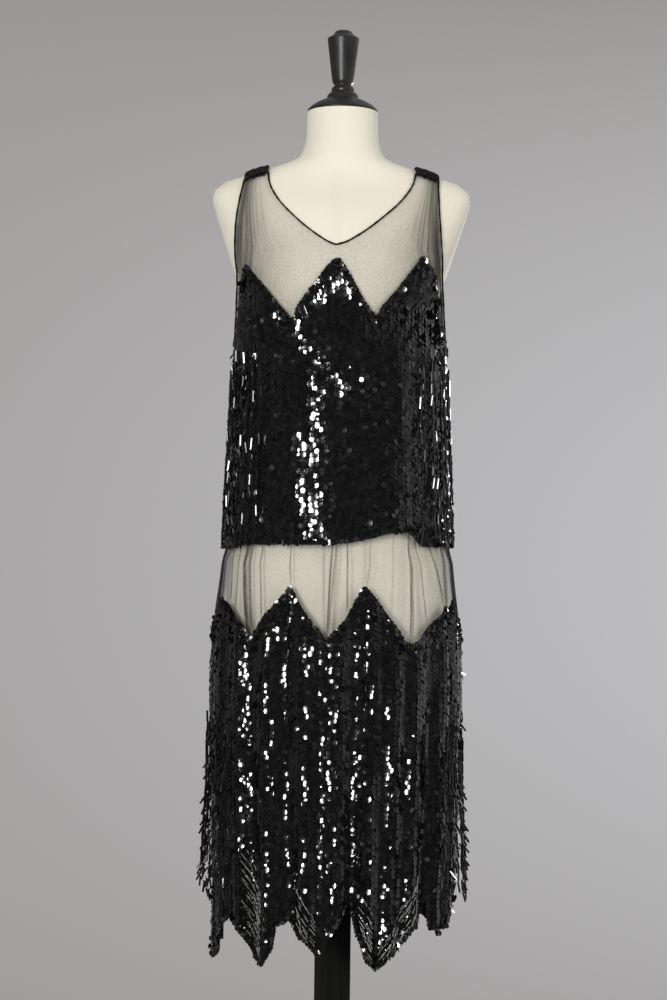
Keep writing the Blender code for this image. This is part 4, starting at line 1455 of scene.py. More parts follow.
class Sewing:
    """Places of small shapes on a cloth, gathered and then joined in one mesh."""

    SIZE_SPREAD = 0.05
    FOOT_LIFT = 0.8
    LINE_PARTS = 30
    THREAD_SLACK = 0.0005
    THREAD_LEAN = 0.06
    BEAD_SPIN = 60.0

    def __init__(self, name: str, surface: Surface, seed: int) -> None:
        """Start an empty set of places.

        Args:
            name: Name of the finished piece.
            surface: The cloth that it is sewn on.
            seed: Makes the same unevenness each run.
        """
        self.name = name
        self.surface = surface
        self.random = np.random.default_rng(SEED + seed)
        self.lots: list[tuple[Trim, Array, Array, Array]] = []

    def add(self, trim: Trim, centres: Array, axes: Array, size: tuple = (1.0, 1.0, 1.0)) -> None:
        """Add many copies of one shape, each a little larger or smaller.

        Args:
            trim: The shape.
            centres: Places, one a copy.
            axes: For each copy three rows: where its X, Y and Z point.
            size: Scale along the shape's own X, Y and Z.
        """
        if len(centres):
            own = self.random.normal(1.0, self.SIZE_SPREAD, (len(centres), 1))
            self.lots.append((trim, centres, axes, np.array(size) * own))

    def scatter(
        self, trim: Trim, turns: Array, heights: Array, out: float, field: Unrest, size: float = 1.0
    ) -> None:
        """Lay sequins on the cloth, each with its foot lifted and turned as its neighbours are.

        Args:
            trim: The sequin.
            turns: Turns of the sequins.
            heights: Their heights.
            out: Distance of their middles from the cloth.
            field: How unevenly they lie.
            size: Scale of the sequins.
        """
        count = len(turns)
        normals = self.surface.normals(turns, heights)
        tilt, yaw = field.angles(turns, heights, self.random)
        upright = unit(np.array([0.0, 0.0, 1.0]) - normals * normals[:, 2:3])
        side = np.cross(upright, normals)
        facing, upright = turned(normals, side, -tilt), turned(upright, side, -tilt)
        facing = turned(facing, upright, yaw)
        x = turned(np.cross(upright, facing), facing, self.random.uniform(0, 360, count))
        lean = np.radians(np.abs(tilt) + np.abs(yaw))
        lift = out + self.FOOT_LIFT * TrimBox.SEQUIN_RADIUS * np.abs(np.sin(lean))
        centres = self.surface.points(turns, heights, lift)
        self.add(trim, centres, np.stack([x, np.cross(facing, x), facing], axis=1), (size, size, size))

    def spaced(self, line: Array, pitch: float) -> tuple:
        """Places a pitch apart along a line on the cloth.

        Args:
            line: Turn and height of each corner, one row a corner.
            pitch: Distance between places.

        Returns:
            Turns, heights and directions along the line.
        """
        t = np.linspace(0, len(line) - 1, self.LINE_PARTS * (len(line) - 1) + 1)
        turns, heights = (np.interp(t, np.arange(len(line)), line[:, i]) for i in range(2))
        points = self.surface.points(turns, heights)
        along = unit(np.gradient(points, axis=0))
        run = run_along(points)
        count = max(1, int(run[-1] / pitch))
        places = (np.arange(count) + 0.5) * run[-1] / count
        directions = np.stack([np.interp(places, run, along[:, i]) for i in range(3)], axis=1)
        return np.interp(places, run, turns), np.interp(places, run, heights), directions

    def thread(
        self, trim: Trim, line: Array, pitch: float, out: float, size: tuple = (1.0, 1.0, 1.0)
    ) -> None:
        """Thread beads along a line on the cloth, end to end.

        Args:
            trim: The bead.
            line: Turn and height of each corner, one row a corner.
            pitch: Distance between beads.
            out: Distance from the cloth.
            size: Scale along the bead's own X, Y and Z.
        """
        turns, heights, directions = self.spaced(line, pitch)
        count = len(turns)
        centres = self.surface.points(turns, heights, out + self.random.uniform(0, self.THREAD_SLACK, count))
        directions = directions + self.random.normal(0, self.THREAD_LEAN, (count, 3))
        spin = self.random.uniform(0, self.BEAD_SPIN, count)
        self.add(trim, centres, along_axes(directions, self.surface.normals(turns, heights), spin), size)

    def join(self, material: Material, slot: Slot, *nodes: str) -> None:
        """Make the mesh with a map and an own value for each copy.

        Args:
            material: The finish.
            slot: The record's slot.
            nodes: Nodes that it replaces.
        """
        columns = {name: [] for name in ("co", "loops", "sides", "uv", "own", "smooth")}
        start = 0
        for trim, centres, axes, scales in self.lots:
            count = len(centres)
            local = np.einsum("kvi,kij->kvj", trim.points[None] * scales[:, None, :], axes)
            order = np.concatenate([np.array(face) for face in trim.faces])
            shift = start + np.arange(count)[:, None] * len(trim.points)
            columns["co"].append((centres[:, None, :] + local).reshape(-1, 3))
            columns["loops"].append((order[None, :] + shift).ravel())
            columns["sides"].append(np.tile([len(face) for face in trim.faces], count))
            disc = trim.points[order, :2] / np.abs(trim.points[:, :2]).max()
            columns["uv"].append(np.tile(disc, (count, 1)))
            columns["own"].append(np.repeat(self.random.random(count), len(trim.points)))
            columns["smooth"].append(np.full(len(trim.faces) * count, trim.smooth))
            start += count * len(trim.points)
        data = {name: np.concatenate(parts) for name, parts in columns.items()}
        mesh = bpy.data.meshes.new(self.name)
        mesh.vertices.add(start)
        mesh.vertices.foreach_set("co", data["co"].astype(np.float32).ravel())
        mesh.loops.add(len(data["loops"]))
        mesh.loops.foreach_set("vertex_index", data["loops"].astype(np.int32))
        mesh.polygons.add(len(data["sides"]))
        starts = np.concatenate([[0], np.cumsum(data["sides"])[:-1]])
        mesh.polygons.foreach_set("loop_start", starts.astype(np.int32))
        mesh.polygons.foreach_set("use_smooth", data["smooth"])
        mesh.update(calc_edges=True)
        mesh.uv_layers.new(name="disc").data.foreach_set("uv", data["uv"].astype(np.float32).ravel())
        mesh.attributes.new("own", "FLOAT", "POINT").data.foreach_set("value", data["own"].astype(np.float32))
        Workbench.seat(Workbench.placed(self.name, mesh), material, slot, *nodes)


@dataclass
class Garment:
    """What the bodice and the skirt share: their cloth, their sequins and their rows of beads."""

    surface: Surface
    finishes: Finishes
    trims: TrimBox
    wall: float = 0.0005
    lift: float = 0.0003
    row_pitch: float = 0.0068
    column_pitch: float = 0.0058
    layers: tuple = (0.0015, 0.0005)
    column_shuffle: float = 0.0012
    height_shuffle: float = 0.0008
    turn_shuffle: float = 0.22
    seed_pitch: float = 0.0039
    seed_out: float = 0.0020
    seed_size: tuple = (1.2, 1.2, 1.3)
    cup_pitch: float = 0.0052
    cup_out: float = 0.0026

    WANDER_WIDTH = 0.7
    WANDER_RISE = 400
    WANDER_UP = 4.0
    WANDER_ACROSS = 9.0
    FOOT_FADE = (-0.15, 0.15)
    TOP_FADE = (1.2, 1.0)
    DARKEST = 0.75
    BARE_FROM = 2.0
    EDGE_UNREST = Unrest(alone=16.0, strays=0.25)

    def gathers(self, creases: Sequence[Crease], places: Array, heights: Array) -> tuple:
        """Rise and darkness of the gathers; the darkness is partly painted shade.

        Args:
            creases: The gathers.
            places: Place across the panel of each point.
            heights: Height of each point.

        Returns:
            The rise in metres and the share of darkness.
        """
        rise, shade = np.zeros_like(heights), np.zeros_like(heights)
        for crease in creases:
            t = (heights - crease.foot) / (crease.top - crease.foot)
            middle = crease.place_foot + (crease.place_top - crease.place_foot) * np.clip(t, 0, 1)
            wander = min(crease.width * self.WANDER_WIDTH, crease.rise * self.WANDER_RISE)
            middle = middle + wander * np.sin(t * self.WANDER_UP + self.WANDER_ACROSS * crease.place_top)
            body = np.exp(-(((places - middle) / crease.width) ** 2))
            fade = ramp(t, *self.FOOT_FADE) * ramp(t, *self.TOP_FADE)
            rise += crease.rise * body * fade
            shade += crease.shade * body * fade
        return rise, np.minimum(shade, self.DARKEST)

    def cloth(
        self, name: str, node: str, grids: Sequence[tuple], sewn_rows: int, creases: Sequence
    ) -> Piece:
        """Thin shell of net, closed and black where it is sewn and sheer elsewhere.

        Args:
            name: Name of the piece.
            node: The node it stands for.
            grids: Turns, heights and places of each part of the panel, rows by columns.
            sewn_rows: Rows of faces that are sewn all over, from the hem up.
            creases: Gathers of its bare net.

        Returns:
            The piece.
        """
        points, faces, flat, shades, kinds = [], [], [], [], []
        start = 0
        for turns, heights, places in grids:
            rows, columns = turns.shape
            rise, shade = self.gathers(creases, places, heights)
            bare = ramp(np.arange(rows), sewn_rows, sewn_rows + self.BARE_FROM)[:, None]
            part = self.surface.points(turns, heights, self.lift + rise * bare)
            run = run_along(part[rows // 2])
            run -= run[np.argmin(np.abs(places[0]))]
            flat.append(np.stack([np.broadcast_to(run, turns.shape), heights], axis=-1).reshape(-1, 2))
            index = start + np.arange(rows * columns).reshape(rows, columns)
            quads = np.stack([index[:-1, :-1], index[:-1, 1:], index[1:, 1:], index[1:, :-1]], axis=-1)
            points.append(part.reshape(-1, 3))
            faces.append(quads.reshape(-1, 4))
            shades.append((shade * bare).ravel())
            sewn = np.arange((rows - 1) * (columns - 1)) < sewn_rows * (columns - 1)
            kinds.append(sewn.astype(np.int32))
            start += rows * columns
        piece = Workbench.mesh(name, np.concatenate(points), np.concatenate(faces), np.concatenate(flat))
        mesh = piece.data
        gather = mesh.attributes.new("gather", "FLOAT", "POINT")
        gather.data.foreach_set("value", np.concatenate(shades).astype(np.float32))
        mesh.materials.append(self.finishes.net)
        mesh.materials.append(self.finishes.backing)
        mesh.polygons.foreach_set("material_index", np.concatenate(kinds))
        Workbench.outward(piece, sheet=True)
        Workbench.apply(piece, "SOLIDIFY", thickness=self.wall, offset=1.0, use_quality_normals=True)
        return Workbench.seat(piece, self.finishes.net, Slot.TULLE, node)

    def sequins(
        self, name: str, trim: Trim, span: tuple, seed: int, covered: Callable, field: Unrest
    ) -> None:
        """Cover a panel with upright rows of overlapping sequins.

        Args:
            name: Name of the piece.
            trim: The sequin.
            span: First and last turn, then lowest and highest height.
            seed: Makes the same unevenness each run.
            covered: Says for arrays of turns and heights which places are covered.
            field: How unevenly they lie.
        """
        sewing = Sewing(name, self.surface, seed)
        columns = self.surface.even_turns((span[2] + span[3]) / 2, span[0], span[1], self.column_pitch)
        turns, heights = np.meshgrid(columns, np.arange(span[2], span[3], self.row_pitch))
        odd = np.arange(len(columns)) % 2
        shuffle = self.column_shuffle
        heights = heights + odd * self.row_pitch / 2 + sewing.random.uniform(-shuffle, shuffle, len(columns))
        heights = heights + sewing.random.normal(0, self.height_shuffle, heights.shape)
        turns = turns + sewing.random.normal(0, self.turn_shuffle, turns.shape)
        layer = np.broadcast_to(self.layers[0] + self.layers[1] * odd, turns.shape)
        kept = covered(turns, heights)
        sewing.scatter(trim, turns[kept], heights[kept], layer[kept], field)
        sewing.join(self.finishes.sequins, Slot.TULLE)

    def edging(self, sewing: Sewing, line: Array, rise: float) -> None:
        """Sew a bumpy row of beads and turned sequins beside an edge.

        Args:
            sewing: Takes the beads.
            line: Turn and height of the edge.
            rise: Distance from the edge, upward.
        """
        row = line + np.array([0.0, rise])
        sewing.thread(self.trims.seed, row, self.seed_pitch, self.seed_out, self.seed_size)
        turns, heights, _ = sewing.spaced(row, self.cup_pitch)
        sewing.scatter(self.trims.cup, turns, heights + rise, self.cup_out, self.EDGE_UNREST)


def spread(*spans: tuple[float, float, int]) -> list[float]:
    """Values from span to span.

    Args:
        spans: Start, end and number of parts of each span.

    Returns:
        The values.
    """
    values = [spans[0][0]]
    for start, end, parts in spans:
        values += [start + (end - start) * i / parts for i in range(1, parts + 1)]
    return values


def between_marks(marks: Sequence[float], step: float) -> list[float]:
    """Rising values that keep every mark and stay about a step apart."""
    return spread(*((low, high, max(1, round((high - low) / step))) for low, high in zip(marks, marks[1:])))


@dataclass(frozen=True)
class PanelCut:
    """The lines of one bodice panel."""

    neck: tuple
    neck_point: float
    hem: tuple
    zigzag: tuple
    creases: tuple
    way: int


CUTS = {
    CutSide.FRONT: PanelCut(
        FRONT_NECK, NECK_POINT, FRONT_BODICE_HEM, FRONT_BODICE_ZIGZAG, FRONT_YOKE_CREASES, -1
    ),
    CutSide.BACK: PanelCut(
        BACK_NECK, BACK_NECK_POINT, BACK_BODICE_HEM, BACK_BODICE_ZIGZAG, BACK_YOKE_CREASES, 1
    ),
}
TURN_SPANS = {CutSide.FRONT: (-90.0, 90.0), CutSide.BACK: (90.0, 270.0)}


@dataclass
class Bodice(Garment):
    """Front and back of the bodice, from the straight hem to the shoulder tabs."""

    column_step: float = 0.0085
    sewn_rows: int = 14
    bare_rows: int = 26
    lower_share: float = 0.4
    seed: int = 11
    sewn_heights: tuple = (0.920, 1.33)
    zigzag_clear: float = 0.0030
    hem_clear: float = 0.0010
    hem_reach: float = 0.985
    zigzag_reach: float = 0.89
    zigzag_rises: tuple = (-0.0008, -0.0042)
    hem_rise: float = 0.0016
    front_unrest: Unrest = Unrest(
        lift=4.0, shared=3.6, alone=3.2, swing=FRONT_SWING, tip=FRONT_TIP, calm=-9.0
    )
    back_unrest: Unrest = Unrest(lift=4.0, shared=3.6, alone=4.5)
    bugle_pitch: float = 0.0135
    slope_bugles: BugleSet = BugleSet(11, 11, -0.245, 0.021, 0.006, 0.0, 2.0, 0.020, 0.0036, 0.9)
    row_bugles: BugleSet = BugleSet(27, 9, 0.29, 0.046, 0.014, 0.024, -3.4, 0.016, 0.0040, 0.75)
    bugle_width: float = 0.55
    turn_scatter: float = 0.6
    fall_scatter: float = 0.006

    @staticmethod
    def shift(side: CutSide, places: Array, heights: Array) -> Array:
        """Degrees by which points of a panel hang to one side."""
        return yoke_shift(places, heights) if side is CutSide.FRONT else np.zeros_like(heights)

    def column(self, place: float, side: CutSide) -> tuple[Array, Array]:
        """Places up one column of a panel.

        Args:
            place: -1 to 1 across the panel, with the sign of 0 kept.
            side: Which panel.

        Returns:
            Turns and heights from the hem to the shoulder.
        """
        cut = CUTS[side]
        share = abs(place)
        top = shoulder_height(TAB_INNER + TAB_WIDTH * share, cut.way * (TAB_REACH + TAB_SEAM))
        edge = float(line_heights(cut.zigzag, place))
        lower = int(self.bare_rows * self.lower_share)
        heights = np.array(spread(
            (float(line_heights(cut.hem, place)), edge, self.sewn_rows),
            (edge, cut.neck_point, lower),
            (cut.neck_point, top, self.bare_rows - lower),
        ))
        inner = [
            turn_at(bodice_ring(h), smooth_value(cut.neck, 1, h)) if h > cut.neck_point else 0.0
            for h in heights
        ]
        outer = np.array([armhole_turn(h) - SEAM_TURN for h in heights])
        turns = (np.array(inner) + (outer - inner) * share) * math.copysign(1.0, place)
        turns = turns + self.shift(side, np.full_like(heights, place), heights)
        return (180 - turns if side is CutSide.BACK else turns), heights

    def sheet(self, side: CutSide) -> Piece:
        """Make one panel of net, both halves in one mesh.

        Args:
            side: Which panel.

        Returns:
            The piece.
        """
        cut = CUTS[side]
        marks = sorted({corner.place for corner in cut.hem + cut.zigzag})
        places = between_marks(marks, self.column_step)
        grids = []
        for half in (-1.0, 1.0):
            kept = [math.copysign(place, half) for place in places if place * half >= 0]
            columns = [self.column(place, side) for place in kept]
            turns, heights = (np.stack([column[i] for column in columns], axis=1) for i in range(2))
            grids.append((turns, heights, np.tile(np.array(kept), (len(turns), 1))))
        name = f"bodice_{side.value}"
        return self.cloth(f"{name}_cloth", name, grids, self.sewn_rows, cut.creases)

    def covered(self, side: CutSide) -> Callable[[Array, Array], Array]:
        """Test for places between the hem and the zigzag.

        Args:
            side: Which panel.

        Returns:
            A function of arrays of turns and heights.
        """
        cut = CUTS[side]

        def inside(turns: Array, heights: Array) -> Array:
            """Whether each place is covered with sequins.

            Args:
                turns: Turns in degrees.
                heights: Heights.

            Returns:
                True where it is.
            """
            local = 180 - turns if side is CutSide.BACK else turns
            places = local / armhole_turns(heights)
            for _ in range(4):
                places = (local - self.shift(side, places, heights)) / armhole_turns(heights)
            below = heights < line_heights(cut.zigzag, places) - self.zigzag_clear
            above = heights > line_heights(cut.hem, places) + self.hem_clear
            return (np.abs(places) < self.hem_reach) & below & above

        return inside

    def edge_line(self, side: CutSide, corners: Sequence[Corner], reach: float) -> Array:
        """A line of the panel as turns and heights.

        Args:
            side: Which panel.
            corners: The line by place.
            reach: Place where it ends on both sides.

        Returns:
            Finely spaced points along the line.
        """
        places = np.array([-reach] + [c.place for c in corners if abs(c.place) < reach] + [reach])
        heights = line_heights(corners, places)
        turns = places * (armhole_turns(heights) - SEAM_TURN) + self.shift(side, places, heights)
        return np.stack([180 - turns if side is CutSide.BACK else turns, heights], axis=1)

    def sew(self, side: CutSide) -> None:
        """Sew one panel's sequins and edging, and the front's slanting bugles.

        Args:
            side: Which panel.
        """
        cut = CUTS[side]
        front = side is CutSide.FRONT
        number = self.seed if front else self.seed + 1
        name = f"bodice_{side.value}"
        field = self.front_unrest if front else self.back_unrest
        span = (*TURN_SPANS[side], *self.sewn_heights)
        self.sequins(f"{name}_sequins", self.trims.flat, span, number, self.covered(side), field)
        edging = Sewing(f"{name}_edging", self.surface, number + 10)
        zigzag = self.edge_line(side, cut.zigzag, self.zigzag_reach)
        for rise in self.zigzag_rises:
            self.edging(edging, zigzag, rise)
        self.edging(edging, self.edge_line(side, cut.hem, self.hem_reach), self.hem_rise)
        if front:
            self.slanting_bugles(edging)
        edging.join(self.finishes.beads, Slot.TULLE)

    def slanting_bugles(self, sewing: Sewing) -> None:
        """Sew fine bugles down the middle peak's -X slope, and in three rows below the +X peak.

        Args:
            sewing: Takes the bugles.
        """
        for bugles, loose in ((self.slope_bugles, False), (self.row_bugles, True)):
            size = (self.bugle_width, self.bugle_width, bugles.length)
            for step in range(bugles.count):
                place = bugles.first + bugles.step * (step % bugles.in_row)
                top = float(line_heights(FRONT_BODICE_ZIGZAG, place)) - bugles.clear
                top -= bugles.row_drop * (step // bugles.in_row)
                turn, fall = place * armhole_turn(top), bugles.fall
                if loose:
                    turn += sewing.random.uniform(-self.turn_scatter, self.turn_scatter)
                    fall += sewing.random.uniform(0, self.fall_scatter)
                line = np.array([(turn, top), (turn + bugles.lean, top - fall)])
                sewing.thread(self.trims.bugle, line, self.bugle_pitch, bugles.out, size)


@dataclass
class Skirt(Garment):
    """Front and back of the skirt, from inside the bodice to the pointed hem."""

    column_step: float = 0.4
    sewn_rows: int = 20
    bare_rows: int = 18
    bugle_rise: float = 0.0042
    bugle_rows: float = 0.0052
    seed: int = 31
    sewn_heights: tuple = (0.352, 0.876)
    unrest: Unrest = Unrest(shared=7.0, alone=4.0, strays=0.06, tip=SKIRT_TIP)
    zigzag_clear: float = 0.0030
    hem_clear: float = 0.0020
    seam_clear: float = 0.4
    zigzag_rises: tuple = (-0.0008, -0.0042)
    hem_rises: tuple = (0.0014,)
    valley_height: float = 0.86
    upright_drop: float = 0.024
    upright_lean: float = 0.4
    upright_foot: float = 0.70
    upright_pitch: float = 0.0150
    upright_out: float = 0.0044
    upright_size: tuple = (0.5, 0.5, 1.0)
    flank_wander: float = 0.0020
    flank_start: float = 2.6
    flank_pitch: float = 0.0142
    flank_clear: float = 0.0040
    flank_gaps: float = 0.12
    flank_out: float = 0.0022
    flank_width: float = 0.30
    flank_lengths: tuple = (0.8, 1.1)
    stipple_density: float = 420.0
    stipple_beyond: float = 0.030
    stipple_clear: float = 0.0030
    stipple_out: float = 0.0010
    stipple_size: float = 0.40
    stipple_unrest: Unrest = Unrest(alone=15.0, strays=0.3)

    def sheet(self, side: CutSide) -> Piece:
        """Make one panel of net.

        Args:
            side: Which panel.

        Returns:
            The piece.
        """
        start, stop = TURN_SPANS[side]
        corners = {corner.place for corner in SKIRT_ZIGZAG + SKIRT_HEM if start < corner.place < stop}
        marks = [start + SEAM_TURN, *sorted(corners), stop - SEAM_TURN]
        places = np.array(between_marks(marks, self.column_step))
        hem, zigzag = line_heights(SKIRT_HEM, places), line_heights(SKIRT_ZIGZAG, places)
        sewn = [(hem[i], zigzag[i], self.sewn_rows) for i in range(len(places))]
        columns = [spread(low, (low[1], SKIRT_TOP, self.bare_rows)) for low in sewn]
        heights = np.array(columns).T
        turns = np.tile(places, (len(heights), 1))
        creases = FRONT_HIP_CREASES if side is CutSide.FRONT else BACK_HIP_CREASES
        name = f"skirt_{side.value}"
        return self.cloth(f"{name}_cloth", name, [(turns, heights, turns)], self.sewn_rows, creases)

    def in_flank(self, flank: Flank, turns: Array, heights: Array) -> Array:
        """Whether places lie in a beaded flank of a hem point.

        Args:
            flank: The flank.
            turns: Turns in degrees.
            heights: Heights.

        Returns:
            True where they do.
        """
        middle = (flank.start + flank.stop) / 2
        top = flank.high + flank.slope * self.bugle_rise * (turns - middle)
        return (turns > flank.start) & (turns < flank.stop) & (heights < top)

    def covered(self, turns: Array, heights: Array) -> Array:
        """Whether each place lies between the hem and the zigzag and outside the beaded flanks.

        Args:
            turns: Turns in degrees.
            heights: Heights.

        Returns:
            True where it does.
        """
        kept = heights < line_heights(SKIRT_ZIGZAG, turns) - self.zigzag_clear
        kept &= heights > line_heights(SKIRT_HEM, turns) + self.hem_clear
        for flank in BEADED_FLANKS:
            kept &= ~self.in_flank(flank, turns, heights)
        return kept

    def sew(self, side: CutSide) -> None:
        """Sew one panel's sequins, edging, upright bugle rows and beaded flanks.

        Args:
            side: Which panel.
        """
        start, stop = TURN_SPANS[side]
        number = self.seed if side is CutSide.FRONT else self.seed + 1
        name = f"skirt_{side.value}"
        span = (start, stop, *self.sewn_heights)
        self.sequins(f"{name}_sequins", self.trims.cup, span, number, self.covered, self.unrest)
        edging = Sewing(f"{name}_edging", self.surface, number + 10)
        first, last = start + self.seam_clear, stop - self.seam_clear
        for corners, rises in ((SKIRT_ZIGZAG, self.zigzag_rises), (SKIRT_HEM, self.hem_rises)):
            places = np.array([first] + [c.place for c in corners if first < c.place < last] + [last])
            for rise in rises:
                self.edging(edging, np.stack([places, line_heights(corners, places)], axis=1), rise)
        lines = Sewing(f"{name}_bead_lines", self.surface, number + 20)
        for corner in SKIRT_ZIGZAG:
            if start < corner.place < stop and corner.height > self.valley_height:
                top = (corner.place, corner.height - self.upright_drop)
                line = np.array([top, (corner.place + self.upright_lean, self.upright_foot)])
                edging.thread(self.trims.bugle, line, self.upright_pitch, self.upright_out, self.upright_size)
        for flank in BEADED_FLANKS:
            if start < flank.start < stop:
                self.slanting_bugles(lines, flank)
                self.stipple(edging, flank)
        edging.join(self.finishes.beads, Slot.TULLE)
        lines.join(self.finishes.lined_bugles, Slot.TULLE)

    def slanting_bugles(self, sewing: Sewing, flank: Flank) -> None:
        """Sew the slanting lines of fine bugles on one flank.

        Args:
            sewing: Takes the bugles.
            flank: Where they lie.
        """
        span = flank.stop - flank.start
        lean = flank.slope * self.bugle_rise * span / 2
        for middle in np.arange(flank.low - abs(lean), flank.high, self.bugle_rows):
            wander = sewing.random.uniform(-self.flank_wander, self.flank_wander, 2)
            first = flank.start + sewing.random.uniform(0.0, self.flank_start)
            line = np.array([(first, middle - lean + wander[0]), (flank.stop, middle + lean + wander[1])])
            turns, heights, directions = sewing.spaced(line, self.flank_pitch)
            kept = heights > line_heights(SKIRT_HEM, turns) + self.flank_clear
            kept &= sewing.random.random(len(turns)) > self.flank_gaps
            turns, heights, directions = turns[kept], heights[kept], directions[kept]
            centres = sewing.surface.points(turns, heights, self.flank_out)
            spin = sewing.random.uniform(0, sewing.BEAD_SPIN, len(turns))
            axes = along_axes(directions, sewing.surface.normals(turns, heights), spin)
            length = sewing.random.uniform(*self.flank_lengths)
            sewing.add(self.trims.bugle, centres, axes, (self.flank_width, self.flank_width, length))

    def stipple(self, sewing: Sewing, flank: Flank) -> None:
        """Sew tiny turned sequins between the slanting lines of one flank.

        Args:
            sewing: Takes the sequins.
            flank: Where they lie.
        """
        count = int((flank.stop - flank.start) * (flank.high - flank.low) * self.stipple_density)
        low, high = flank.low - self.stipple_beyond, flank.high + self.stipple_beyond
        turns = sewing.random.uniform(flank.start, flank.stop, count)
        heights = sewing.random.uniform(low, high, count)
        kept = self.in_flank(flank, turns, heights)
        kept &= heights > line_heights(SKIRT_HEM, turns) + self.stipple_clear
        out, size = self.stipple_out, self.stipple_size
        sewing.scatter(self.trims.cup, turns[kept], heights[kept], out, self.stipple_unrest, size)


@dataclass
class BeadFringe:
    """Strings of long beads that hang at one side, sewn on at uneven heights."""

    label: str
    surface: Surface
    trims: TrimBox
    finishes: Finishes
    way: int
    first: float
    pitch: float
    strings: int
    top: float
    drop: float
    foot: float
    loose: float
    seed: int

    KNOT = 0.0026
    TURN_SCATTER = 1.2
    FOOT_SCATTER = (-0.016, 0.018)
    DRIFT = (0.16, 0.22)
    HANG = 0.0036
    HANG_SCATTER = (0.004, 0.4, 0.6)
    KICKED = (0.08, 0.22)
    KICK_OUT = 0.002
    KICK_LEAN = (0.3, 1.0)
    LEAN = (0.05, 0.14)
    LENGTHS = (0.95, 1.12)
    SEED_SIZE = (0.8, 0.8, 0.8)

    def build(self) -> None:
        """String the beads."""
        name = f"{self.label}_{'left' if self.way < 0 else 'right'}"
        sewing = Sewing(name.replace("fringe", "bead_strings"), self.surface, self.seed + self.way)
        random = sewing.random
        step = TrimBox.BUGLE_LENGTH + self.KNOT
        for number in range(self.strings):
            turn = self.way * (self.first + self.pitch * number)
            turn += random.uniform(-self.TURN_SCATTER, self.TURN_SCATTER)
            top = self.top - random.uniform(0, self.drop)
            foot = self.foot + random.uniform(*self.FOOT_SCATTER) * self.loose
            count = max(3, int((top - foot) / step))
            lower = (np.arange(count) + 0.5) / count
            heights = top - step * (np.arange(count) + 0.5)
            drift = self.DRIFT[0] + self.DRIFT[1] * self.loose
            turns = turn + random.normal(0, drift, count).cumsum()
            hang = smooth_values(FRINGE_SPREAD, heights) if self.loose else np.full(count, self.HANG)
            reach, least, more = self.HANG_SCATTER
            hang = hang + random.uniform(0, reach) * (least + more * self.loose)
            normals = self.surface.normals(turns, heights)
            kicked = random.random(count) < (self.KICKED[0] + self.KICKED[1] * lower) * self.loose
            centres = self.surface.points(turns, heights, hang + self.KICK_OUT * kicked)
            lean = random.normal(0, self.LEAN[0], (count, 3))
            lean += random.normal(0, self.LEAN[1], (count, 3)) * lower[:, None]
            lean += normals * (kicked * random.uniform(*self.KICK_LEAN, count))[:, None]
            spin = random.uniform(0, sewing.BEAD_SPIN, count)
            axes = along_axes(np.array([0.0, 0.0, -1.0]) + lean, normals, spin)
            sewing.add(self.trims.bugle, centres, axes, (1.0, 1.0, random.uniform(*self.LENGTHS)))
            middle = (centres[:-1] + centres[1:]) / 2
            sewing.add(self.trims.seed, middle, axes[:-1], self.SEED_SIZE)
        sewing.join(self.finishes.beads, Slot.BEADS, name)


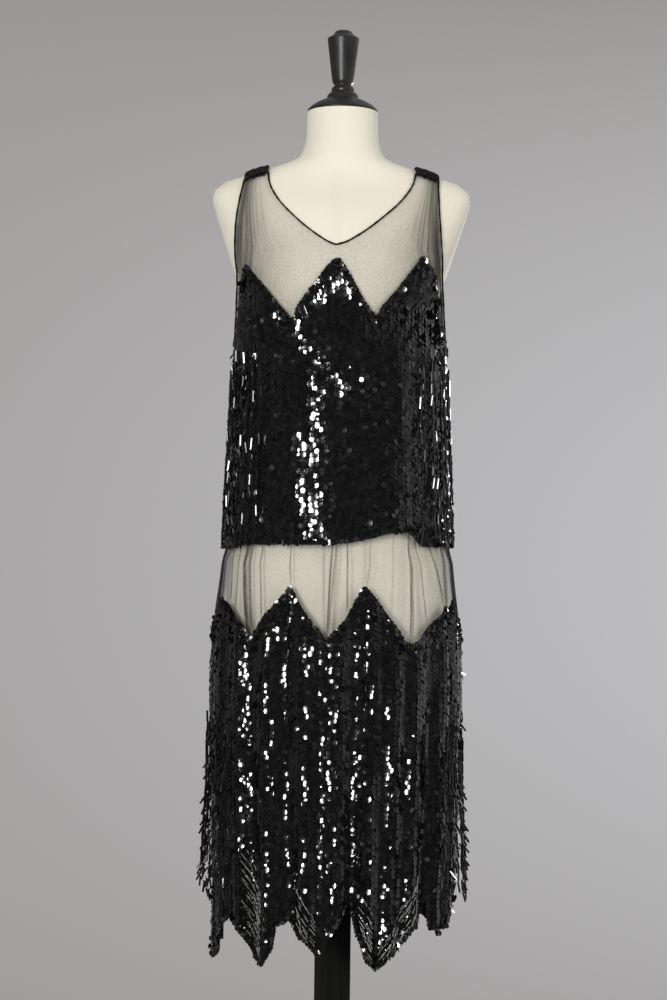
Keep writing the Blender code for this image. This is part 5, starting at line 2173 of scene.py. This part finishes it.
@dataclass
class Piping:
    """Rolled net edges round the neck and the armholes."""

    surface: Surface
    finishes: Finishes
    radius: float = 0.0012
    sides: int = 8
    steps: int = 60

    SWELLS = ((0.14, 1.7), (0.08, 0.61))
    NECK_CROWDING = 1.5
    ARMHOLE_CROWDING = 1.6
    ARMHOLE_RISE = 0.0014
    ARMHOLE_INSET = 0.35
    NUDGE = 1e-6

    def tube(self, name: str, line: Array, node: str) -> None:
        """Rolled tube along a line on the cloth, a little uneven.

        Args:
            name: Name of the piece.
            line: Turn and height of each point.
            node: The node that it replaces.
        """
        points = self.surface.points(line[:, 0], line[:, 1], self.radius)
        along = unit(np.gradient(points, axis=0))
        side = unit(np.cross(along, np.array([0.0, 0.0, 1.0]) + self.NUDGE))
        other = np.cross(side, along)
        number = np.arange(len(points))
        uneven = 1 + sum(size * np.sin(number * pace) for size, pace in self.SWELLS)
        swell = self.radius * uneven[:, None, None]
        angles = np.linspace(0, math.tau, self.sides, endpoint=False)
        cosines, sines = np.cos(angles)[None, :, None], np.sin(angles)[None, :, None]
        across = cosines * side[:, None, :] + sines * other[:, None, :]
        flat = np.stack(np.meshgrid(angles * self.radius, run_along(points)), axis=-1)
        piece = Workbench.grid(name, points[:, None, :] + swell * across, flat, closed=True)
        Workbench.outward(piece, fill=True)
        Workbench.seat(piece, self.finishes.piping, Slot.EDGE, node)

    def neck(self, side: CutSide) -> None:
        """Roll one neck edge, from tab to tab.

        Args:
            side: Which panel.
        """
        cut = CUTS[side]
        top = shoulder_height(TAB_INNER, cut.way * (TAB_REACH + TAB_SEAM))
        share = np.linspace(0, 1, self.steps)
        heights = cut.neck_point + (top - cut.neck_point) * share ** self.NECK_CROWDING
        reaches = [max(0.0, smooth_value(cut.neck, 1, height) - self.radius) for height in heights]
        turns = [turn_at(bodice_ring(height), reach) for height, reach in zip(heights, reaches)]
        half = np.stack([np.array(turns), heights + self.radius * (1 - share)], axis=1)
        line = np.concatenate([half[:0:-1] * np.array([-1.0, 1.0]), half])
        line[:, 0] += Bodice.shift(side, np.zeros(len(line)), line[:, 1])
        if side is CutSide.BACK:
            line[:, 0] = 180 - line[:, 0]
        self.tube(f"neck_{side.value}_edge", line, f"neck_binding_{side.value}")

    def armhole(self, label: str, way: int) -> None:
        """Roll one armhole's edge, down the front and up the back.

        Args:
            label: left or right.
            way: -1 or 1.
        """
        low = UNDERARM + self.ARMHOLE_RISE
        rise = np.linspace(0, 1, self.steps) ** self.ARMHOLE_CROWDING
        halves = []
        for side in CutSide:
            top = shoulder_height(TAB_INNER + TAB_WIDTH, CUTS[side].way * (TAB_REACH + TAB_SEAM))
            heights = low + (top - low) * rise
            turns = way * (armhole_turns(heights) + self.ARMHOLE_INSET)
            turns = turns + Bodice.shift(side, np.full_like(heights, way), heights)
            halves.append(np.stack([way * 180 - turns if side is CutSide.BACK else turns, heights], axis=1))
        line = np.concatenate([halves[0][::-1], halves[1][1:]])
        self.tube(f"armhole_{label}_edge", line, f"armhole_binding_{label}")


@dataclass
class ShoulderTabs:
    """Ruched velvet tabs over both shoulders, with a small knob at the neck end."""

    finishes: Finishes
    front: float = -0.043
    back: float = 0.038
    ruches: int = 11
    rows: int = 96
    across: int = 30
    wall: float = 0.0012
    ruche: float = 0.0009
    pucker: float = 0.0011
    puckers: float = 4.6
    knob_radius: float = 0.0028
    overlap: float = 0.0006
    end_rise: float = 0.0022
    end_span: tuple = (0.032, 0.035)
    roundness: float = 0.35
    clearance: float = 0.0004
    knob_place: tuple = (TAB_INNER + 0.001, -0.024)
    knob_pleats: int = 10
    knob_pinch: tuple = (0.90, 0.90, 0.96)
    knob_sink: float = 0.6
    knob_rings: int = 12
    seed: int = 70
    ruche_wander: tuple = (0.9, 5.0)
    lumps: tuple = (23, 9, 4)
    flat_share: float = 0.4
    pucker_wander: tuple = (2.2, 19.0)

    def build(self, label: str, way: int) -> None:
        """Make one tab.

        Args:
            label: left or right.
            way: -1 or 1.
        """
        random = np.random.default_rng(SEED + self.seed + way)
        phase = np.repeat(random.uniform(0, math.tau, self.across // 2 + 1), 2)[:self.across + 1]
        points = np.zeros((self.rows + 1, self.across + 1, 3))
        flat = np.zeros((self.rows + 1, self.across + 1, 2))
        for row in range(self.rows + 1):
            t = row / self.rows
            y = self.front + (self.back - self.front) * t
            over = self.end_rise * float(ramp(abs(y), *self.end_span))
            for step in range(self.across + 1):
                share = step / self.across
                x = TAB_INNER - self.overlap + (TAB_WIDTH + 2 * self.overlap) * share
                roll = math.sin(math.pi * share) ** self.roundness
                reach, pace = self.ruche_wander
                wave = math.sin(math.tau * self.ruches * t + reach * math.sin(phase[step] + pace * t))
                along, across, slant = self.lumps
                lump = math.sin(along * t + phase[step]) * math.sin(across * share + slant * t)
                lift = self.clearance + over
                full = self.flat_share + (1 - self.flat_share) * roll
                lift += self.ruche * ((1 + wave) * full + 0.5 * lump + 0.5)
                reach, pace = self.pucker_wander
                gathered = math.sin(math.tau * self.puckers * share + reach * math.sin(pace * t) + way)
                lift += self.pucker * (1 + gathered) * roll
                points[row, step] = (way * x, y, shoulder_height(x, y) + lift)
                flat[row, step] = (x, y)
        piece = Workbench.grid(f"shoulder_{label}_tab", points, flat)
        Workbench.outward(piece)
        if sum(face.normal.z for face in piece.data.polygons) < 0:
            piece.data.flip_normals()
        Workbench.apply(piece, "SOLIDIFY", thickness=self.wall, offset=1.0)
        self.knob(label, way)
        Workbench.seat(piece, self.finishes.velvet, Slot.TAB, f"shoulder_tab_{label}")

    def knob(self, label: str, way: int) -> None:
        """Small gathered knob where the tab meets the neck edge.

        Args:
            label: left or right.
            way: -1 or 1.
        """
        x, y = self.knob_place
        place = (way * x, y, shoulder_height(x, y) + self.wall + self.knob_sink * self.knob_radius)
        bpy.ops.mesh.primitive_uv_sphere_add(
            segments=2 * self.knob_pleats, ring_count=self.knob_rings, radius=self.knob_radius, location=place
        )
        piece = Workbench.made(f"shoulder_{label}_knob")
        pleat = math.tau / self.knob_pleats
        Workbench.pick(piece, lambda co, normal: math.atan2(co.y, co.x) % pleat < pleat / 2, "VERT")
        bpy.ops.transform.resize(value=self.knob_pinch)
        Workbench.settle(piece)
        piece.data.shade_smooth()
        Workbench.seat(piece, self.finishes.velvet, Slot.TAB)


@dataclass
class DressForm:
    """The limbless form on its post and base, with its turned cap."""

    finishes: Finishes
    sides: int = 128
    level_step: float = 0.008
    map_radius: float = 0.13
    form_crisp: float = 50.0
    turned_crisp: float = 40.0
    post_crisp: float = 35.0
    cap_sides: int = 96
    cap_ease: float = 0.25
    base_sides: int = 128
    base_ease: float = 0.45
    post_bevel: float = 0.0022
    cap_profile: tuple = (
        (0.0, FINIAL_TOP), (0.0103, FINIAL_TOP), (0.0154, 1.6407), (0.0221, 1.6369), (0.0221, 1.6345),
        (0.0151, 1.5760), (0.0121, 1.5717), (0.0121, 1.5700), (0.0150, 1.5680), (0.0162, 1.5650),
        (0.0158, 1.5615), (0.0190, 1.5600), (0.0219, 1.5560), (0.0222, 1.5530), (0.0240, 1.5512),
        (0.0330, 1.5480), (0.0430, 1.5420), (0.0490, 1.5364), (0.0490, NECK_TOP + REST_GAP),
        (0.0, NECK_TOP + REST_GAP),
    )
    base_profile: tuple = (
        (0.0, BASE_HEIGHT), (0.060, BASE_HEIGHT), (0.180, 0.0165), (0.194, 0.0145), (BASE_RADIUS, 0.0085),
        (BASE_RADIUS, 0.002), (0.198, 0.0), (0.0, 0.0),
    )

    def torso(self) -> None:
        """Loft the covered form."""
        heights = between_marks([ring.height for ring in TORSO], self.level_step)
        turns = np.linspace(0, 360, self.sides, endpoint=False)
        level = plain_level(TORSO)
        points = np.stack([level(height, turns) for height in heights])
        flat = np.stack(np.meshgrid(np.radians(turns) * self.map_radius, np.array(heights)), axis=-1)
        piece = Workbench.grid("form_body", points, flat, closed=True)
        Workbench.outward(piece, fill=True)
        Workbench.smooth(piece, self.form_crisp)
        Workbench.seat(piece, self.finishes.cover, Slot.COVER, "form_torso")

    @staticmethod
    def eased(profile: Sequence[tuple], reach: float, parts: int = 4) -> list[tuple]:
        """Ease the corners of a turned profile.

        Args:
            profile: (radius, height) corners.
            reach: Share of each side that its eased corners take.
            parts: Parts of each eased corner.

        Returns:
            The finer profile.
        """
        result = [profile[0]]
        for before, corner, after in zip(profile, profile[1:], profile[2:]):
            for i in range(parts + 1):
                t = i / parts
                result.append(tuple(
                    c + (b - c) * reach * (1 - t) ** 2 + (a - c) * reach * t ** 2
                    for b, c, a in zip(before, corner, after)
                ))
        return result + [profile[-1]]

    def cap(self) -> None:
        """Turn the neck cap with its waisted finial."""
        piece = Workbench.spin("form_cap", self.eased(self.cap_profile, self.cap_ease), self.cap_sides)
        Workbench.smooth(piece, self.turned_crisp)
        Workbench.seat(piece, self.finishes.turned, Slot.LACQUER, "form_neck_cap")

    def post(self) -> None:
        """Plane the square post with eased edges."""
        foot, top = BASE_HEIGHT + REST_GAP, TORSO_FOOT - REST_GAP
        size = (POST_SIDE, POST_SIDE, top - foot)
        bpy.ops.mesh.primitive_cube_add(size=1.0, location=(0, 0, (foot + top) / 2), scale=size)
        piece = Workbench.made("form_pole")
        Workbench.settle(piece)
        Workbench.pick(piece, lambda co, normal: True)
        bpy.ops.mesh.bevel(offset=self.post_bevel, segments=4, profile=0.5)
        bpy.ops.object.mode_set(mode="OBJECT")
        Workbench.smooth(piece, self.post_crisp)
        Workbench.seat(piece, self.finishes.lacquer, Slot.LACQUER, "form_post")

    def base(self) -> None:
        """Turn the round base."""
        piece = Workbench.spin("form_foot", self.eased(self.base_profile, self.base_ease), self.base_sides)
        Workbench.smooth(piece, self.turned_crisp)
        Workbench.seat(piece, self.finishes.paint, Slot.PAINT, "form_base")


class Lamp(NamedTuple):
    """A soft lamp: its place, size, watts, whether gloss mirrors it, and its beam's angle in degrees."""

    name: str
    place: tuple[float, float, float]
    size: tuple[float, float]
    power: float
    gloss: bool
    beam: float


@dataclass
class Studio:
    """Camera at the photograph's angle, three soft lamps, grey paper with a painted pool of light and a plain
    pale floor.
    """

    eye: tuple = (-0.0062, -2.70, 0.991)
    film: float = 36.0
    lens: float = 69.43
    roll: float = -0.69
    lamp_aim: tuple = (0.0, 0.0, 1.0)
    lamps: tuple = (
        Lamp("key", (-1.02, -2.95, 1.40), (0.36, 1.05), 51.0, True, 180.0),
        Lamp("fill", (1.90, -2.40, 1.50), (1.4, 1.8), 27.0, False, 180.0),
        Lamp("back", (1.00, 2.80, 1.35), (0.36, 1.05), 7.0, True, 60.0),
    )
    room: float = 0.47
    # Painted pool of light on the paper: its tone in shade and in the light, the height of its brightest
    # line, how far up and down it reaches, its share at the left, and its half width.
    paper_in_shade: tuple = (0.315, 0.300, 0.288, 1.0)
    paper_in_light: tuple = (0.505, 0.500, 0.515, 1.0)
    brightest_slope: float = -0.03
    light_reach: float = 0.29
    left_share: float = 0.44
    paper_half: float = 0.17
    depth_dim: tuple = (-0.7, 0.4, 0.008, 0.19)
    side_dim: tuple = (-0.6, 0.6, 0.70, 2.7)
    floor_colour: tuple = (0.42, 0.415, 0.41)
    floor_radius: float = 1.05
    floor_sides: int = 96
    floor_fade: tuple = (0.70, 1.04, 1.0, 0.0)

    def camera(self) -> None:
        """Place the camera level with the middle of the dress."""
        data = bpy.data.cameras.new("camera")
        data.sensor_fit = "VERTICAL"
        data.sensor_height = self.film
        data.sensor_width = self.film
        data.lens = self.lens
        camera = Workbench.placed("camera", data)
        camera.location = self.eye
        camera.rotation_euler = (math.radians(90), math.radians(self.roll), 0.0)
        bpy.context.scene.camera = camera

    def hang(self, lamp: Lamp) -> None:
        """Hang one soft lamp, aimed at the dress.

        Args:
            lamp: The lamp.
        """
        data = bpy.data.lights.new(lamp.name, "AREA")
        data.shape = "RECTANGLE"
        data.size, data.size_y = lamp.size
        data.energy = lamp.power
        data.spread = math.radians(lamp.beam)
        light = Workbench.placed(lamp.name, data)
        light.location = lamp.place
        light.visible_glossy = lamp.gloss
        light.visible_camera = False
        aim = Vector(self.lamp_aim) - Vector(lamp.place)
        light.rotation_euler = aim.to_track_quat("-Z", "Y").to_euler()

    def world(self) -> None:
        """Grey paper behind with a painted pool of light, a dim room for the gloss, and soft light on all
        that is matt.
        """
        world = bpy.data.worlds.new("studio_paper")
        bpy.context.scene.world = world
        world.use_nodes = True
        pen = NodePen(world.node_tree)
        parts = pen.add("SeparateXYZ", {"Vector": pen.add("TexCoord").outputs["Generated"]}).outputs
        # Painted pool of light on the paper seen by the camera: brightest along one height, falling off above
        # and below, dimmer to the left.
        rise = pen.maths("SUBTRACT", parts["Z"], self.brightest_slope)
        height = pen.maths("DIVIDE", rise, self.light_reach)
        fall = pen.remap(pen.maths("MULTIPLY", height, height), 0.0, 1.0, 1.0, 0.0)
        across = pen.remap(parts["X"], -self.paper_half, self.paper_half, self.left_share, 1.0)
        paper = pen.blend(pen.maths("MULTIPLY", fall, across), self.paper_in_shade, self.paper_in_light)
        dim = pen.remap(parts["Y"], *self.depth_dim)
        dim = pen.maths("MULTIPLY", dim, pen.remap(parts["X"], *self.side_dim))
        path = pen.add("LightPath").outputs
        colour = pen.blend(path["Is Glossy Ray"], (self.room, self.room, self.room, 1.0), dim)
        colour = pen.blend(path["Is Camera Ray"], colour, paper)
        pen.put(world.node_tree.nodes["Background"].inputs["Color"], colour)

    def floor(self) -> None:
        """Lay a pale round floor that fades at its edge into the paper."""
        bpy.ops.mesh.primitive_circle_add(
            vertices=self.floor_sides, radius=self.floor_radius, fill_type="NGON"
        )
        floor = Workbench.made("floor")
        material, pen, inputs = start_material("pale_floor", self.floor_colour, {"Roughness": 0.7})
        place = pen.add("TexCoord").outputs["Object"]
        reach = pen.add("VectorMath", {0: place}, operation="LENGTH").outputs["Value"]
        pen.put(inputs["Alpha"], pen.remap(reach, *self.floor_fade))
        floor.data.materials.append(material)

    def build(self) -> None:
        """Set up camera, lamps, paper and floor."""
        self.camera()
        for lamp in self.lamps:
            self.hang(lamp)
        self.world()
        self.floor()
        bpy.context.scene.view_settings.view_transform = "Standard"


BODICE_FRINGE = {
    "seed": 51, "first": 43, "pitch": 5.2, "strings": 19, "top": 1.208, "drop": 0.045, "foot": 0.924,
    "loose": 0.0,
}
SKIRT_FRINGE = {
    "seed": 55, "first": 50, "pitch": 4.0, "strings": 20, "top": 0.700, "drop": 0.055, "foot": 0.448,
    "loose": 1.0,
}


def main() -> None:
    """Build the form, the dress and the studio in order."""
    logging.basicConfig(level=logging.INFO, format="%(message)s")
    bpy.ops.object.select_all(action="DESELECT")
    Studio().build()
    finishes = Finishes()
    trims = TrimBox()
    form = DressForm(finishes)
    for make in (form.torso, form.cap, form.post, form.base):
        make()

    bodice_face = Surface(*BODICE_LEVELS, bodice_level)
    skirt_face = Surface(*SKIRT_LEVELS, skirt_level)
    garments = (
        (Bodice(bodice_face, finishes, trims), BODICE_FLAT, BODICE_AREA),
        (Skirt(skirt_face, finishes, trims), SKIRT_FLAT, SKIRT_AREA),
    )
    for side in CutSide:
        for garment, flat, area in garments:
            panel = garment.sheet(side)
            garment.sew(side)

    waist = Surface(*WAIST_LEVELS, plain_level(BODICE))
    hips = Surface(*HIP_LEVELS, plain_level(SKIRT))
    piping = Piping(bodice_face, finishes)
    tabs = ShoulderTabs(finishes)
    for side in CutSide:
        piping.neck(side)
    for label, way in (("left", -1), ("right", 1)):
        piping.armhole(label, way)
        tabs.build(label, way)
        BeadFringe("bodice_fringe", waist, trims, finishes, way, **BODICE_FRINGE).build()
        BeadFringe("skirt_fringe", hips, trims, finishes, way, **SKIRT_FRINGE).build()


if __name__ == "__main__":
    main()
